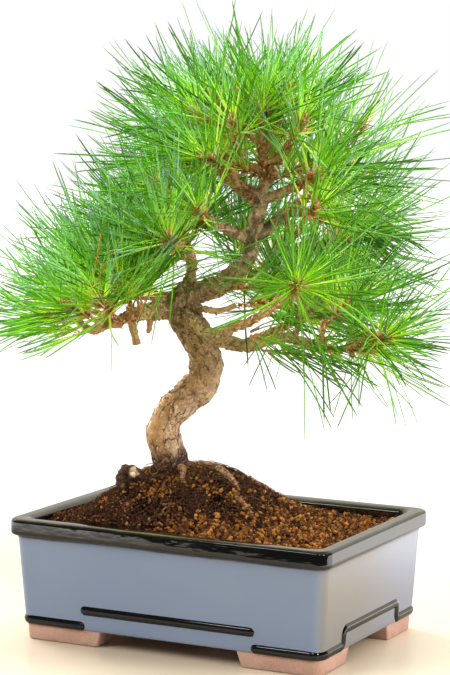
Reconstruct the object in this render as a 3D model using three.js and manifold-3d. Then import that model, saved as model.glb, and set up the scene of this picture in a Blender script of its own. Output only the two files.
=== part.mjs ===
// A Japanese black pine bonsai in its glazed rectangular pot.
// Millimetres, +Z up. The pot's long side lies along X and its front looks along -Y.
// Everything is laid out round the pot's upright centre line, and the whole is slid sideways at the
// end, so that the origin is under the middle of the tree and pot together, on the surface they stand on.
import * as THREE from "three";
import { mergeVertices } from "three/addons/utils/BufferGeometryUtils.js";
import Module from "manifold-3d";

const wasm = await Module();
wasm.setup();

// The pot
const POT_LENGTH = 240;
const POT_DEPTH = 170;
const POT_HEIGHT = 84;
const CORNER_RADIUS = 9;
const CORNER_STEPS = 3;
const RIM_WIDTH = 11.5;
const RIM_DROP = 11;
const RIM_OVERHANG = 3.6;
const BASE_INSET = 7.5;
const FOOT_HEIGHT = 11;
const FLOOR_TOP = 19;
const FOOT_ARM_X = 57;
const FOOT_ARM_Y = 43;
const FOOT_WIDTH = 17;
const FOOT_SLANT = 4;
const BEAD_HEIGHT = 5.4;
const BEAD_PROUD = 1.5;
const BEAD_RISE = 11;
const BEAD_STEP_X = 47;
const BEAD_STEP_Y = 34;
const DRAIN_RADIUS = 10;
const DRAIN_X = 58;

// The screens over the drain holes
const SCREEN_SIDE = 28;
const SCREEN_THICK = 0.9;
const SCREEN_HOLE = 7;
const SCREEN_PITCH = 10;

// The soil
const SOIL_LEVEL = 76;
const SOIL_CELL = 8.6;
const SOIL_LUMP = 1.5;
const MOUND_HEIGHT = 42;
const MOUND_AT = { x: -14, y: 2 };
const MOUND_REACH = { left: 68, right: 62, y: 52 };

// Clearances between neighbouring solids
const SEAT_GAP = 0.45;
const ROOT_GAP = 0.55;
const NEEDLE_GAP = 0.6;

// The needles. A shoot has five flat sides, and its rings are [height, radius]; between the first
// two rings it is bare, and each row above carries two pairs.
const SHOOT_SIDES = 5;
const SHOOT_RINGS = [
  [0, 1.5],
  [6, 1.5],
  [8.5, 1.6],
  [11, 1.65],
  [13.4, 1.6],
  [15.7, 1.4],
  [17.8, 1],
];
const SHOOT_TIP = 21.5;
const SHOOT_MIDDLE = 12;
const ROW_TWIST = (2 * Math.PI) / SHOOT_SIDES / 5;
const SHOOT_RADIUS = 1.5;
const PAIR_SIDES = [0, 2, 4, 1, 3];
const NEEDLE_LENGTH = { least: 64, most: 84 };
const NEEDLE_RADIUS = 1.35;
const LEAN = { first: 1.4, last: 0.42 };
const LIFT = 0.22;
const DROOP = { least: 0.22, most: 1 };
const TWIN_SPREAD = { least: 0.05, most: 0.12 };
const TRIES = 160;

// The tree's best side looks towards the pot's front right corner, so its own axes
// (across to the right, back, up) are turned by this angle from the pot's X and Y.
const TREE_TURN = THREE.MathUtils.degToRad(27);
const UP = new THREE.Vector3(0, 0, 1);

// Each limb is a row of [across, back, up, radius], measured from the pot's centre line and the ground.
const TRUNK = [
  [-31, 17, 76, 13],
  [-31, 16, 96, 15],
  [-33, 16, 112, 13],
  [-37, 14, 125, 12],
  [-40, 11, 139, 11.6],
  [-35, 11, 151, 11.6],
  [-24, 14, 162, 11.6],
  [-13, 18, 172, 11.6],
  [-10, 20, 184, 11],
  [-12, 20, 195, 10.6],
  [-17, 17, 206, 10.4],
  [-24, 14, 216, 11],
  [-28, 12, 227, 10.5],
  [-21, 14, 235, 8],
];
const BRANCHES = {
  leader: [
    [-27, 13, 230, 8],
    [-18, 15, 235, 7.4],
    [-4, 16, 240, 6.6],
    [10, 18, 249, 6],
    [19, 22, 260, 5.8],
    [21, 24, 274, 5.6],
    [25, 22, 288, 5],
    [28, 18, 300, 4.4],
    [29, 14, 313, 3.4],
    [28, 9, 326, 2.8],
    [27, 5, 338, 2.3],
  ],
  left_low: [
    [-28, 12, 224, 5.6],
    [-42, 8, 223, 4.6],
    [-53, 2, 223, 4.3],
    [-65, -4, 219, 4.2],
    [-78, -8, 215, 3.6],
    [-86, -10, 211, 2.9],
    [-93, -12, 214, 2.3],
  ],
  left_back: [
    [-29, 15, 227, 5],
    [-43, 36, 229, 4],
    [-57, 54, 229, 3.2],
    [-72, 68, 226, 2.4],
  ],
  left_mid: [
    [20, 23, 271, 4.6],
    [8, 18, 276, 3.8],
    [-4, 11, 282, 3.4],
    [-14, 5, 289, 3],
    [-22, 0, 296, 2.4],
  ],
  knot_up: [
    [-25, 14, 232, 4.6],
    [-21, 16, 248, 3.8],
    [-21, 16, 259, 3.2],
    [-27, 12, 269, 2.7],
    [-35, 6, 274, 2.3],
  ],
  mid_back: [
    [-21, 17, 254, 3.2],
    [-25, 38, 268, 2.8],
    [-31, 56, 278, 2.3],
  ],
  upper_left: [
    [28, 18, 302, 4],
    [15, 14, 307, 3.4],
    [4, 10, 313, 3],
    [-3, 7, 320, 2.4],
  ],
  upper_left_back: [
    [26, 21, 294, 3.6],
    [13, 40, 303, 3],
    [0, 54, 314, 2.6],
    [-11, 64, 327, 2.2],
  ],
  right_up: [
    [28, 19, 298, 4],
    [38, 13, 302, 3.4],
    [49, 6, 308, 3],
    [60, 0, 314, 2.4],
  ],
  right_up_back: [
    [29, 15, 309, 3.2],
    [37, 30, 321, 2.8],
    [46, 42, 332, 2.5],
    [53, 50, 344, 2.2],
  ],
  right_mid: [
    [20, 24, 270, 5],
    [33, 28, 279, 4.4],
    [43, 30, 288, 4],
    [54, 33, 289, 3.4],
    [67, 34, 285, 2.9],
    [79, 32, 279, 2.4],
  ],
  right_mid_back: [
    [43, 30, 288, 3.4],
    [55, 50, 296, 3],
    [70, 68, 301, 2.5],
    [85, 80, 302, 2.2],
  ],
  right_a: [
    [-26, 9, 221, 5],
    [-19, 1, 215, 4.6],
    [-9, -6, 209, 4.4],
    [0, -14, 210, 4],
    [7, -22, 215, 3.5],
    [17, -32, 219, 2.9],
    [28, -40, 226, 2.6],
    [39, -44, 234, 2.3],
  ],
  right_b: [
    [-13, 18, 200, 5.4],
    [2, 13, 201, 4.6],
    [16, 8, 199, 4.6],
    [28, 2, 202, 4.2],
    [43, -4, 206, 3.6],
    [57, -8, 203, 3.3],
    [68, -12, 200, 2.9],
    [80, -17, 199, 2.4],
  ],
  right_low_back: [
    [14, 9, 199, 3.8],
    [28, 28, 203, 3.2],
    [44, 46, 208, 2.8],
    [60, 60, 213, 2.3],
  ],
  knot_back: [
    [-24, 15, 230, 4.6],
    [-8, 36, 231, 3.8],
    [10, 56, 237, 3],
    [26, 72, 245, 2.4],
  ],
  pruned_stub: [
    [-62, -5, 222, 3.2],
    [-60, -10, 214, 2.9],
    [-58, -13, 207, 2.6],
    [-57, -14, 202, 3],
  ],
  knot_stub: [
    [-48, 4, 221, 2.6],
    [-49, 2, 213, 1.9],
    [-50, 1, 208, 1.5],
  ],
  side_shoot: [
    [-24, 10, 225, 3.4],
    [-13, 2, 225, 2.4],
    [-2, -3, 224, 2.2],
    [10, -5, 228, 1.8],
  ],
};
// Roots that leave the trunk's foot and dive into the soil, one of them with a knob that breaks the surface.
const ROOTS = {
  root_right: [
    [-27, 12, 112, 7],
    [-8, 4, 116, 4],
    [1, -4, 114, 3.4],
    [9, -13, 108, 2.8],
    [14, -19, 98, 2.2],
  ],
  root_front: [
    [-30, 12, 110, 6],
    [-26, 0, 114, 3.6],
    [-26, -10, 110, 2.8],
    [-26, -17, 99, 2],
  ],
  root_left: [
    [-37, 12, 106, 7],
    [-50, 6, 108, 5],
    [-62, 0, 112, 7.6],
    [-69, -3, 102, 5.6],
  ],
  root_back: [
    [-28, 20, 108, 7],
    [-20, 36, 102, 4.6],
    [-14, 52, 88, 3],
  ],
  root_far: [
    [11, -16, 103, 2.4],
    [10, -24, 99, 2.2],
    [12, -29, 100, 2.1],
    [16, -33, 97, 1.9],
    [21, -41, 91.5, 1.7],
    [24, -46, 82, 1.4],
  ],
};

// Each spray of needles: the limb its twig leaves, how far along that limb, the middle of its shoot
// (across, back, up), and the shoot's heading (0 right, 90 back, 180 left, -90 front) and rise in degrees.
const SPRAYS = [
  ["leader", 1.0, 27, 2, 358, -90, 84],
  ["leader", 0.82, 59, 10, 363, 20, 60],
  ["leader", 0.88, 51, -12, 347, -50, 52],
  ["leader", 0.84, 9, -8, 346, 240, 64],
  ["leader", 0.97, 14, 8, 365, 110, 72],
  ["leader", 0.93, 43, 10, 368, 40, 68],
  ["upper_left", 0.9, -13, 0, 355, 172, 22],
  ["upper_left", 0.75, -5, 14, 363, 150, 50],
  ["upper_left", 0.5, -7, -22, 327, 225, 20],
  ["upper_left", 1.0, -17, 6, 327, 180, 12],
  ["left_mid", 1.0, -38, -6, 306, 190, 25],
  ["left_mid", 0.42, -14, -18, 291, 245, 25],
  ["left_mid", 0.62, -29, 20, 294, 150, 25],
  ["knot_up", 0.85, -43, -10, 270, 195, 15],
  ["knot_up", 0.6, -33, -19, 271, 250, 30],
  ["knot_up", 1.0, -48, 22, 274, 155, 20],
  ["mid_back", 1.0, -40, 70, 290, 120, 38],
  ["mid_back", 0.7, -16, 66, 280, 70, 35],
  ["left_low", 0.78, -83, -6, 243, 155, 55],
  ["left_low", 0.42, -57, -14, 242, 130, 75],
  ["left_low", 0.55, -67, -22, 238, 205, 62],
  ["left_low", 1.0, -111, -16, 220, 184, 8],
  ["left_low", 0.88, -95, -24, 226, 200, 32],
  ["left_low", 0.66, -77, -30, 229, 225, 42],
  ["left_low", 0.5, -74, 16, 240, 150, 45],
  ["left_low", 0.82, -98, 4, 228, 168, 25],
  ["left_back", 1.0, -86, 76, 233, 145, 25],
  ["left_back", 0.78, -63, 66, 248, 110, 60],
  ["upper_left_back", 1.0, -21, 77, 341, 130, 45],
  ["upper_left_back", 0.68, 2, 70, 326, 85, 42],
  ["upper_left_back", 0.8, -30, 48, 320, 178, 14],
  ["upper_left_back", 0.36, 4, 40, 334, 120, 72],
  ["right_up_back", 1.0, 60, 58, 358, 35, 62],
  ["right_up_back", 0.66, 36, 56, 338, 105, 40],
  ["right_up_back", 0.36, 32, 34, 358, 100, 78],
  ["right_up", 1.0, 78, 0, 323, 5, 28],
  ["right_up", 0.66, 60, -10, 315, -40, 35],
  ["right_up", 0.92, 89, 10, 343, 20, 48],
  ["right_mid", 0.8, 78, 20, 270, -15, 14],
  ["right_mid", 0.6, 74, 16, 302, -30, 32],
  ["right_mid", 0.4, 60, -16, 292, -60, 35],
  ["right_mid", 1.0, 97, 34, 284, 5, 15],
  ["right_mid_back", 1.0, 97, 91, 311, 40, 28],
  ["right_mid_back", 0.7, 66, 80, 312, 95, 42],
  ["right_mid_back", 0.5, 88, 56, 306, 8, 28],
  ["right_a", 1.0, 49, -62, 246, -86, 14],
  ["right_b", 1.0, 105, -30, 209, -58, 6],
  ["right_b", 0.97, 94, -10, 199, -10, 2],
  ["right_b", 0.86, 82, -10, 227, 20, 40],
  ["right_b", 0.62, 58, 4, 224, 50, 52],
  ["right_low_back", 1.0, 74, 72, 223, 45, 30],
  ["right_low_back", 0.7, 44, 64, 226, 105, 42],
  ["knot_back", 1.0, 37, 88, 257, 55, 36],
  ["knot_back", 0.72, 16, 70, 262, 110, 56],
];

// The same draws on every run.
function draws(seed) {
  let state = seed;
  return () => {
    state = (state * 48271) % 2147483647;
    return state / 2147483647;
  };
}

// A point of the tree's own axes in the pot's.
function turned(across, back, up) {
  return new THREE.Vector3(across, back, up).applyAxisAngle(UP, TREE_TURN);
}

function heading(azimuthDeg, riseDeg) {
  const azimuth = THREE.MathUtils.degToRad(azimuthDeg);
  const rise = THREE.MathUtils.degToRad(riseDeg);
  return turned(Math.cos(azimuth) * Math.cos(rise), Math.sin(azimuth) * Math.cos(rise), Math.sin(rise));
}

// Closed triangles to a solid that can be joined and cut, and back.
function solidFrom(vertices, faces) {
  const geometry = new THREE.BufferGeometry()
    .setAttribute("position", new THREE.Float32BufferAttribute(vertices, 3))
    .setIndex(faces);
  const merged = mergeVertices(geometry, 1e-4);
  const mesh = new wasm.Mesh({
    numProp: 3,
    vertProperties: merged.attributes.position.array,
    triVerts: new Uint32Array(merged.index.array),
  });
  return new wasm.Manifold(mesh);
}

function solidOf(geometry) {
  const flat = geometry.index ? geometry.toNonIndexed() : geometry;
  const vertices = Array.from(flat.getAttribute("position").array);
  return solidFrom(vertices, [...Array(vertices.length / 3).keys()]);
}

function geometryOf(solid) {
  const mesh = solid.getMesh();
  const geometry = new THREE.BufferGeometry()
    .setAttribute("position", new THREE.BufferAttribute(Float32Array.from(mesh.vertProperties), 3))
    .setIndex(Array.from(mesh.triVerts));
  geometry.computeVertexNormals();
  return geometry;
}

function joined(solids) {
  return wasm.Manifold.union(solids);
}

// A skin over rings of equally many points, closed by a flat fan at the start and by a fan or a tip at the end.
function loft(rings, tip = null) {
  const count = rings[0].length;
  const vertices = rings.flat().flatMap((point) => point.toArray());
  const faces = [];
  for (let ring = 0; ring + 1 < rings.length; ring++) {
    for (let i = 0; i < count; i++) {
      const here = ring * count + i;
      const next = ring * count + ((i + 1) % count);
      faces.push(here, next, next + count, here, next + count, here + count);
    }
  }
  for (let i = 1; i + 1 < count; i++) faces.push(0, i + 1, i);
  const last = (rings.length - 1) * count;
  if (tip) {
    vertices.push(...tip.toArray());
    for (let i = 0; i < count; i++) faces.push(last + i, last + ((i + 1) % count), last + count);
  } else {
    for (let i = 1; i + 1 < count; i++) faces.push(last, last + i, last + i + 1);
  }
  return solidFrom(vertices, faces);
}

function box(width, depth, height, x, y, z) {
  return solidOf(new THREE.BoxGeometry(width, depth, height).translate(x, y, z));
}

// Two directions at right angles to an axis and to each other.
function crossAxes(axis, near = null) {
  const hint = near ?? (Math.abs(axis.z) < 0.9 ? UP : new THREE.Vector3(1, 0, 0));
  const side = hint.clone().addScaledVector(axis, -hint.dot(axis)).normalize();
  return [side, new THREE.Vector3().crossVectors(axis, side)];
}

function ringAround(centre, side, other, sides, radiusAt) {
  return Array.from({ length: sides }, (_, i) => {
    const angle = (i / sides) * 2 * Math.PI;
    const radius = radiusAt(angle);
    return centre
      .clone()
      .addScaledVector(side, Math.cos(angle) * radius)
      .addScaledVector(other, Math.sin(angle) * radius);
  });
}

// A limb's smooth line through its points, with its radius at any share of the way.
function limbLine(points) {
  const curve = new THREE.CatmullRomCurve3(
    points.map(([across, back, up]) => turned(across, back, up)),
    false,
    "centripetal",
  );
  const radiusAt = (share) => {
    const place = Math.min(share, 0.99999) * (points.length - 1);
    const index = Math.floor(place);
    return THREE.MathUtils.lerp(points[index][3], points[index + 1][3], place - index);
  };
  return { curve, radiusAt };
}

// A limb's solid, which may be made larger all over by an extra margin.
function limb({ curve, radiusAt }, sides, steps, relief = () => 1, extra = 0) {
  let side = null;
  const rings = [];
  for (let step = 0; step <= steps; step++) {
    const share = step / steps;
    const tangent = curve.getTangent(share);
    const axes = crossAxes(tangent, side);
    side = axes[0];
    const beyond = step === 0 ? -extra : step === steps ? extra : 0;
    const centre = curve.getPoint(share).addScaledVector(tangent, beyond);
    rings.push(
      ringAround(centre, axes[0], axes[1], sides, (angle) => radiusAt(share) * relief(angle, share) + extra),
    );
  }
  return loft(rings);
}

// Long plates of bark, raised between deep cracks that wander round the trunk.
function barkPlates(angle, share) {
  const wander = 0.8 * Math.sin(share * 19) + 0.5 * Math.sin(share * 43 + 1);
  return 1 + 0.06 * Math.cos(3 * angle + wander) + 0.035 * Math.cos(5 * angle - 2 * wander);
}

// The pot
function roundedRing(inset, z, radius = CORNER_RADIUS) {
  const [halfX, halfY] = [POT_LENGTH / 2 - inset, POT_DEPTH / 2 - inset];
  const corners = [
    [halfX, -halfY, -90],
    [halfX, halfY, 0],
    [-halfX, halfY, 90],
    [-halfX, -halfY, 180],
  ];
  return corners.flatMap(([x, y, from]) => {
    const [cornerX, cornerY] = [x - Math.sign(x) * radius, y - Math.sign(y) * radius];
    return Array.from({ length: CORNER_STEPS + 1 }, (_, step) => {
      const angle = THREE.MathUtils.degToRad(from + (90 * step) / CORNER_STEPS);
      return new THREE.Vector3(cornerX + radius * Math.cos(angle), cornerY + radius * Math.sin(angle), z);
    });
  });
}

// How far the outer wall stands in from the rim's edge at a height.
function wallInset(z) {
  const share = (z - FOOT_HEIGHT) / (POT_HEIGHT - RIM_DROP - FOOT_HEIGHT);
  return THREE.MathUtils.lerp(BASE_INSET, RIM_OVERHANG, share);
}

function potShell() {
  const rimFoot = POT_HEIGHT - RIM_DROP;
  return loft([
    roundedRing(wallInset(FOOT_HEIGHT) + 1, FOOT_HEIGHT),
    roundedRing(wallInset(FOOT_HEIGHT), FOOT_HEIGHT + 1),
    roundedRing(wallInset(rimFoot - 2), rimFoot - 2),
    roundedRing(RIM_OVERHANG - 1, rimFoot - 0.6),
    roundedRing(0.5, rimFoot),
    roundedRing(0, rimFoot + 1.5),
    roundedRing(0, POT_HEIGHT - 2.5),
    roundedRing(1, POT_HEIGHT - 0.6),
    roundedRing(2.8, POT_HEIGHT),
    roundedRing(RIM_WIDTH - 1.6, POT_HEIGHT),
    roundedRing(RIM_WIDTH, POT_HEIGHT - 1.4),
    roundedRing(RIM_WIDTH + 0.8, rimFoot),
    roundedRing(BASE_INSET + 8, FLOOR_TOP + 4),
    roundedRing(BASE_INSET + 11, FLOOR_TOP),
  ]);
}

// A foot round one corner: two arms that meet, with sloping ends and a small taper.
function cornerFoot(signX, signY) {
  const [edgeX, edgeY] = [POT_LENGTH / 2 - BASE_INSET - 0.8, POT_DEPTH / 2 - BASE_INSET - 0.8];
  const outline = (z, drawIn) => {
    const points = [
      [edgeX - 6, edgeY - drawIn],
      [edgeX - FOOT_ARM_X + drawIn * FOOT_SLANT, edgeY - drawIn],
      [edgeX - FOOT_ARM_X + drawIn * FOOT_SLANT, edgeY - FOOT_WIDTH],
      [edgeX - FOOT_WIDTH, edgeY - FOOT_WIDTH],
      [edgeX - FOOT_WIDTH, edgeY - FOOT_ARM_Y + drawIn * FOOT_SLANT],
      [edgeX - drawIn, edgeY - FOOT_ARM_Y + drawIn * FOOT_SLANT],
      [edgeX - drawIn, edgeY - 6],
      [edgeX - 1.8 - drawIn, edgeY - 1.8 - drawIn],
    ];
    return points.map(([x, y]) => new THREE.Vector3(x, y, z));
  };
  const [low, high] = [outline(0, 1), outline(FOOT_HEIGHT + 2, 0)];
  const vertices = [...low, ...high].flatMap((p) => [p.x * signX, p.y * signY, p.z]);
  const flat = THREE.ShapeUtils.triangulateShape(
    low.map((p) => new THREE.Vector2(p.x, p.y)),
    [],
  );
  const count = low.length;
  const faces = [];
  for (const [a, b, c] of flat) faces.push(a, c, b, a + count, b + count, c + count);
  for (let i = 0; i < count; i++) {
    const next = (i + 1) % count;
    faces.push(i, next, next + count, i, next + count, i + count);
  }
  if (signX * signY < 0) {
    for (let i = 0; i < faces.length; i += 3) [faces[i + 1], faces[i + 2]] = [faces[i + 2], faces[i + 1]];
  }
  return solidFrom(vertices, faces);
}

// A raised moulding right round the wall, to be cut to the stretches that the pot has.
function beadBand(z) {
  const depths = [
    [0, -0.6],
    [0.2, BEAD_PROUD],
    [0.8, BEAD_PROUD],
    [1, -0.6],
  ];
  const outer = depths.map(([share, proud]) => {
    const height = z + share * BEAD_HEIGHT;
    return roundedRing(wallInset(height) - proud, height);
  });
  return loft(outer);
}

// The moulding runs low round each corner and high between the feet. On the short sides an upright
// joins the two at the front.
function beads() {
  const low = beadBand(FOOT_HEIGHT + 0.5);
  const high = beadBand(FOOT_HEIGHT + 0.5 + BEAD_RISE);
  const [stepX, stepY] = [
    POT_LENGTH / 2 - BASE_INSET - BEAD_STEP_X,
    POT_DEPTH / 2 - BASE_INSET - BEAD_STEP_Y,
  ];
  const middle = FOOT_HEIGHT + (BEAD_RISE + BEAD_HEIGHT) / 2;
  const acrossX = box(2 * stepX, POT_DEPTH, 40, 0, 0, middle);
  const acrossY = box(POT_LENGTH, 2 * stepY, 40, 0, 0, middle);
  const between = joined([acrossX, acrossY]);
  const upright = FOOT_HEIGHT + 0.5 + (BEAD_RISE + BEAD_HEIGHT) / 2;
  const band = loft([
    roundedRing(wallInset(FOOT_HEIGHT + 1.5) - BEAD_PROUD, FOOT_HEIGHT + 1.5),
    roundedRing(
      wallInset(FOOT_HEIGHT + BEAD_RISE + BEAD_HEIGHT - 0.5) - BEAD_PROUD,
      FOOT_HEIGHT + BEAD_RISE + BEAD_HEIGHT - 0.5,
    ),
  ]);
  const posts = box(POT_LENGTH, BEAD_HEIGHT * 0.8, 40, 0, -stepY, upright);
  return joined([low.subtract(between), high.intersect(between), band.intersect(posts)]);
}

function pot() {
  const hollow = loft([roundedRing(BASE_INSET + 4, 0), roundedRing(BASE_INSET + 4, POT_HEIGHT)]);
  const feet = [-1, 1].flatMap((x) => [-1, 1].map((y) => cornerFoot(x, y)));
  const drains = [-1, 1].map((sign) =>
    solidOf(
      new THREE.CylinderGeometry(DRAIN_RADIUS, DRAIN_RADIUS, 2 * FLOOR_TOP, 14)
        .rotateX(Math.PI / 2)
        .translate(sign * DRAIN_X, 0, FLOOR_TOP / 2),
    ),
  );
  const mouldings = beads().subtract(hollow);
  return joined([potShell(), ...feet, mouldings]).subtract(joined(drains));
}

// A square of plastic mesh that keeps the soil from falling out of a drain hole.
function screen(sign) {
  const height = FLOOR_TOP + SEAT_GAP + SCREEN_THICK / 2;
  const plate = box(SCREEN_SIDE, SCREEN_SIDE, SCREEN_THICK, sign * DRAIN_X, 0, height);
  const holes = [];
  for (const row of [-0.5, 0.5]) {
    for (const column of [-0.5, 0.5]) {
      const x = sign * DRAIN_X + column * SCREEN_PITCH;
      holes.push(box(SCREEN_HOLE, SCREEN_HOLE, 3 * SCREEN_THICK, x, row * SCREEN_PITCH, height));
    }
  }
  return plate.subtract(joined(holes));
}

// The soil's surface: level towards the walls and heaped up round the foot of the trunk, with a
// steep end on the left and a long slope to the right.
function soilHeight(x, y) {
  const [dx, dy] = [x - MOUND_AT.x, (y - MOUND_AT.y) / MOUND_REACH.y];
  const far = (dx < 0 ? (dx / MOUND_REACH.left) ** 4 : (dx / MOUND_REACH.right) ** 2) + dy * dy;
  return SOIL_LEVEL + MOUND_HEIGHT * Math.exp(-far);
}

function soil(buried, screens) {
  const [columns, rows] = [Math.ceil(POT_LENGTH / SOIL_CELL), Math.ceil(POT_DEPTH / SOIL_CELL)];
  const draw = draws(4021);
  const vertices = [];
  for (let row = 0; row <= rows; row++) {
    for (let column = 0; column <= columns; column++) {
      const [x, y] = [(column - columns / 2) * SOIL_CELL, (row - rows / 2) * SOIL_CELL];
      const [slipX, slipY] = [(draw() - 0.5) * 3, (draw() - 0.5) * 3];
      const lump = (draw() * 2 - 1) * SOIL_LUMP;
      vertices.push(x + slipX, y + slipY, soilHeight(x, y) + lump);
    }
  }
  const stride = columns + 1;
  const top = vertices.length / 3;
  for (let i = 0; i < top; i++) vertices.push(vertices[3 * i], vertices[3 * i + 1], 0);
  const faces = [];
  for (let row = 0; row < rows; row++) {
    for (let column = 0; column < columns; column++) {
      const here = row * stride + column;
      const above = here + stride;
      faces.push(here, here + 1, above + 1, here, above + 1, above);
      faces.push(top + here, top + above + 1, top + here + 1, top + here, top + above, top + above + 1);
    }
  }
  const wall = (a, b) => faces.push(a, top + a, top + b, a, top + b, b);
  for (let column = 0; column < columns; column++) {
    wall(column, column + 1);
    wall(rows * stride + column + 1, rows * stride + column);
  }
  for (let row = 0; row < rows; row++) {
    wall((row + 1) * stride, row * stride);
    wall(row * stride + columns, (row + 1) * stride + columns);
  }
  const heap = solidFrom(vertices, faces);
  const rimFoot = POT_HEIGHT - RIM_DROP;
  const inside = loft([
    roundedRing(BASE_INSET + 11 + SEAT_GAP, FLOOR_TOP + SEAT_GAP),
    roundedRing(BASE_INSET + 8 + SEAT_GAP, FLOOR_TOP + 4 + SEAT_GAP),
    roundedRing(RIM_WIDTH + 0.8 + SEAT_GAP, rimFoot),
    roundedRing(RIM_WIDTH + 0.3 + SEAT_GAP, POT_HEIGHT),
    roundedRing(RIM_WIDTH + 0.3 + SEAT_GAP, POT_HEIGHT + MOUND_HEIGHT),
  ]);
  const seats = screens.map((sign) =>
    box(
      SCREEN_SIDE + 2 * SEAT_GAP,
      SCREEN_SIDE + 2 * SEAT_GAP,
      2 * (SCREEN_THICK + 2 * SEAT_GAP),
      sign * DRAIN_X,
      0,
      FLOOR_TOP,
    ),
  );
  return heap.intersect(inside).subtract(joined([...seats, buried]));
}

// The way from a limb to a spray, bending into the shoot's heading.
function twigLine(branch, share, start, direction) {
  const line = limbLine(BRANCHES[branch]);
  const leaves = line.curve.getPoint(share);
  const reach = leaves.distanceTo(start);
  const points = [leaves, start.clone().addScaledVector(direction, -0.35 * reach), start];
  const curve = new THREE.CatmullRomCurve3(points, false, "centripetal");
  const thick = Math.min(2.6, line.radiusAt(share));
  return { curve, radiusAt: (along) => THREE.MathUtils.lerp(thick, SHOOT_RADIUS, along) };
}

const sprays = SPRAYS.map(([branch, share, across, back, up, azimuth, rise], index) => {
  const direction = heading(azimuth, rise);
  const start = turned(across, back, up).addScaledVector(direction, -SHOOT_MIDDLE);
  const name = "spray_" + String(index + 1).padStart(2, "0");
  return { name, start, direction, twig: twigLine(branch, share, start, direction) };
});

// One grown piece: trunk, branches, twigs and the roots that reach into the soil.
function tree() {
  const solids = [limb(limbLine(TRUNK), 12, 22, barkPlates)];
  for (const [name, points] of Object.entries(BRANCHES)) {
    const thick = name === "leader";
    solids.push(limb(limbLine(points), thick ? 8 : 5, points.length - (thick ? 0 : 1)));
  }
  for (const points of Object.values(ROOTS)) solids.push(limb(limbLine(points), 6, points.length));
  for (const { twig } of sprays) solids.push(limb(twig, 4, 2));
  // Only the outer skin is kept, so that small pockets between crossing limbs are wood.
  const skins = joined(solids).decompose();
  return skins.reduce((most, skin) => (skin.volume() > most.volume() ? skin : most));
}

// The room that the trunk's foot and roots take in the soil.
function rootRoom() {
  const trunk = limb(limbLine(TRUNK), 12, 22, barkPlates, ROOT_GAP);
  const roots = Object.values(ROOTS).map((points) =>
    limb(limbLine(points), 6, points.length, () => 1, ROOT_GAP),
  );
  return joined([trunk, ...roots]);
}

// The closest that two straight pieces come, less their thickness there.
function clearance(one, two) {
  const along = new THREE.Vector3().subVectors(one.b, one.a);
  const other = new THREE.Vector3().subVectors(two.b, two.a);
  const between = new THREE.Vector3().subVectors(one.a, two.a);
  const [a, e, f] = [along.dot(along), other.dot(other), other.dot(between)];
  const [b, c] = [along.dot(other), along.dot(between)];
  const limit = (value) => Math.min(1, Math.max(0, value));
  const flat = a * e - b * b;
  let s = flat > 1e-9 ? limit((b * f - c * e) / flat) : 0;
  let t = (b * s + f) / e;
  if (t < 0 || t > 1) {
    t = limit(t);
    s = limit((b * t - c) / a);
  }
  const gap = between.addScaledVector(along, s).addScaledVector(other, -t).length();
  return gap - THREE.MathUtils.lerp(one.ra, one.rb, s) - THREE.MathUtils.lerp(two.ra, two.rb, t);
}

// Straight stretches that stand for a limb in the clearance test.
function stretches({ curve, radiusAt }, steps, owner) {
  return Array.from({ length: steps }, (_, i) => ({
    a: curve.getPoint(i / steps),
    b: curve.getPoint((i + 1) / steps),
    ra: radiusAt(i / steps) * 1.05,
    rb: radiusAt((i + 1) / steps) * 1.05,
    owner,
  }));
}

const shootEnd = (spray) => spray.start.clone().addScaledVector(spray.direction, SHOOT_TIP);
const inTheWay = [
  ...stretches(limbLine(TRUNK), 24, "tree"),
  ...Object.values(BRANCHES).flatMap((points) => stretches(limbLine(points), 12, "tree")),
  ...sprays.flatMap((spray) => stretches(spray.twig, 3, "tree")),
  ...sprays.map((spray) => ({ a: spray.start, b: shootEnd(spray), ra: 1.7, rb: 1.7, owner: spray.name })),
];

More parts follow.
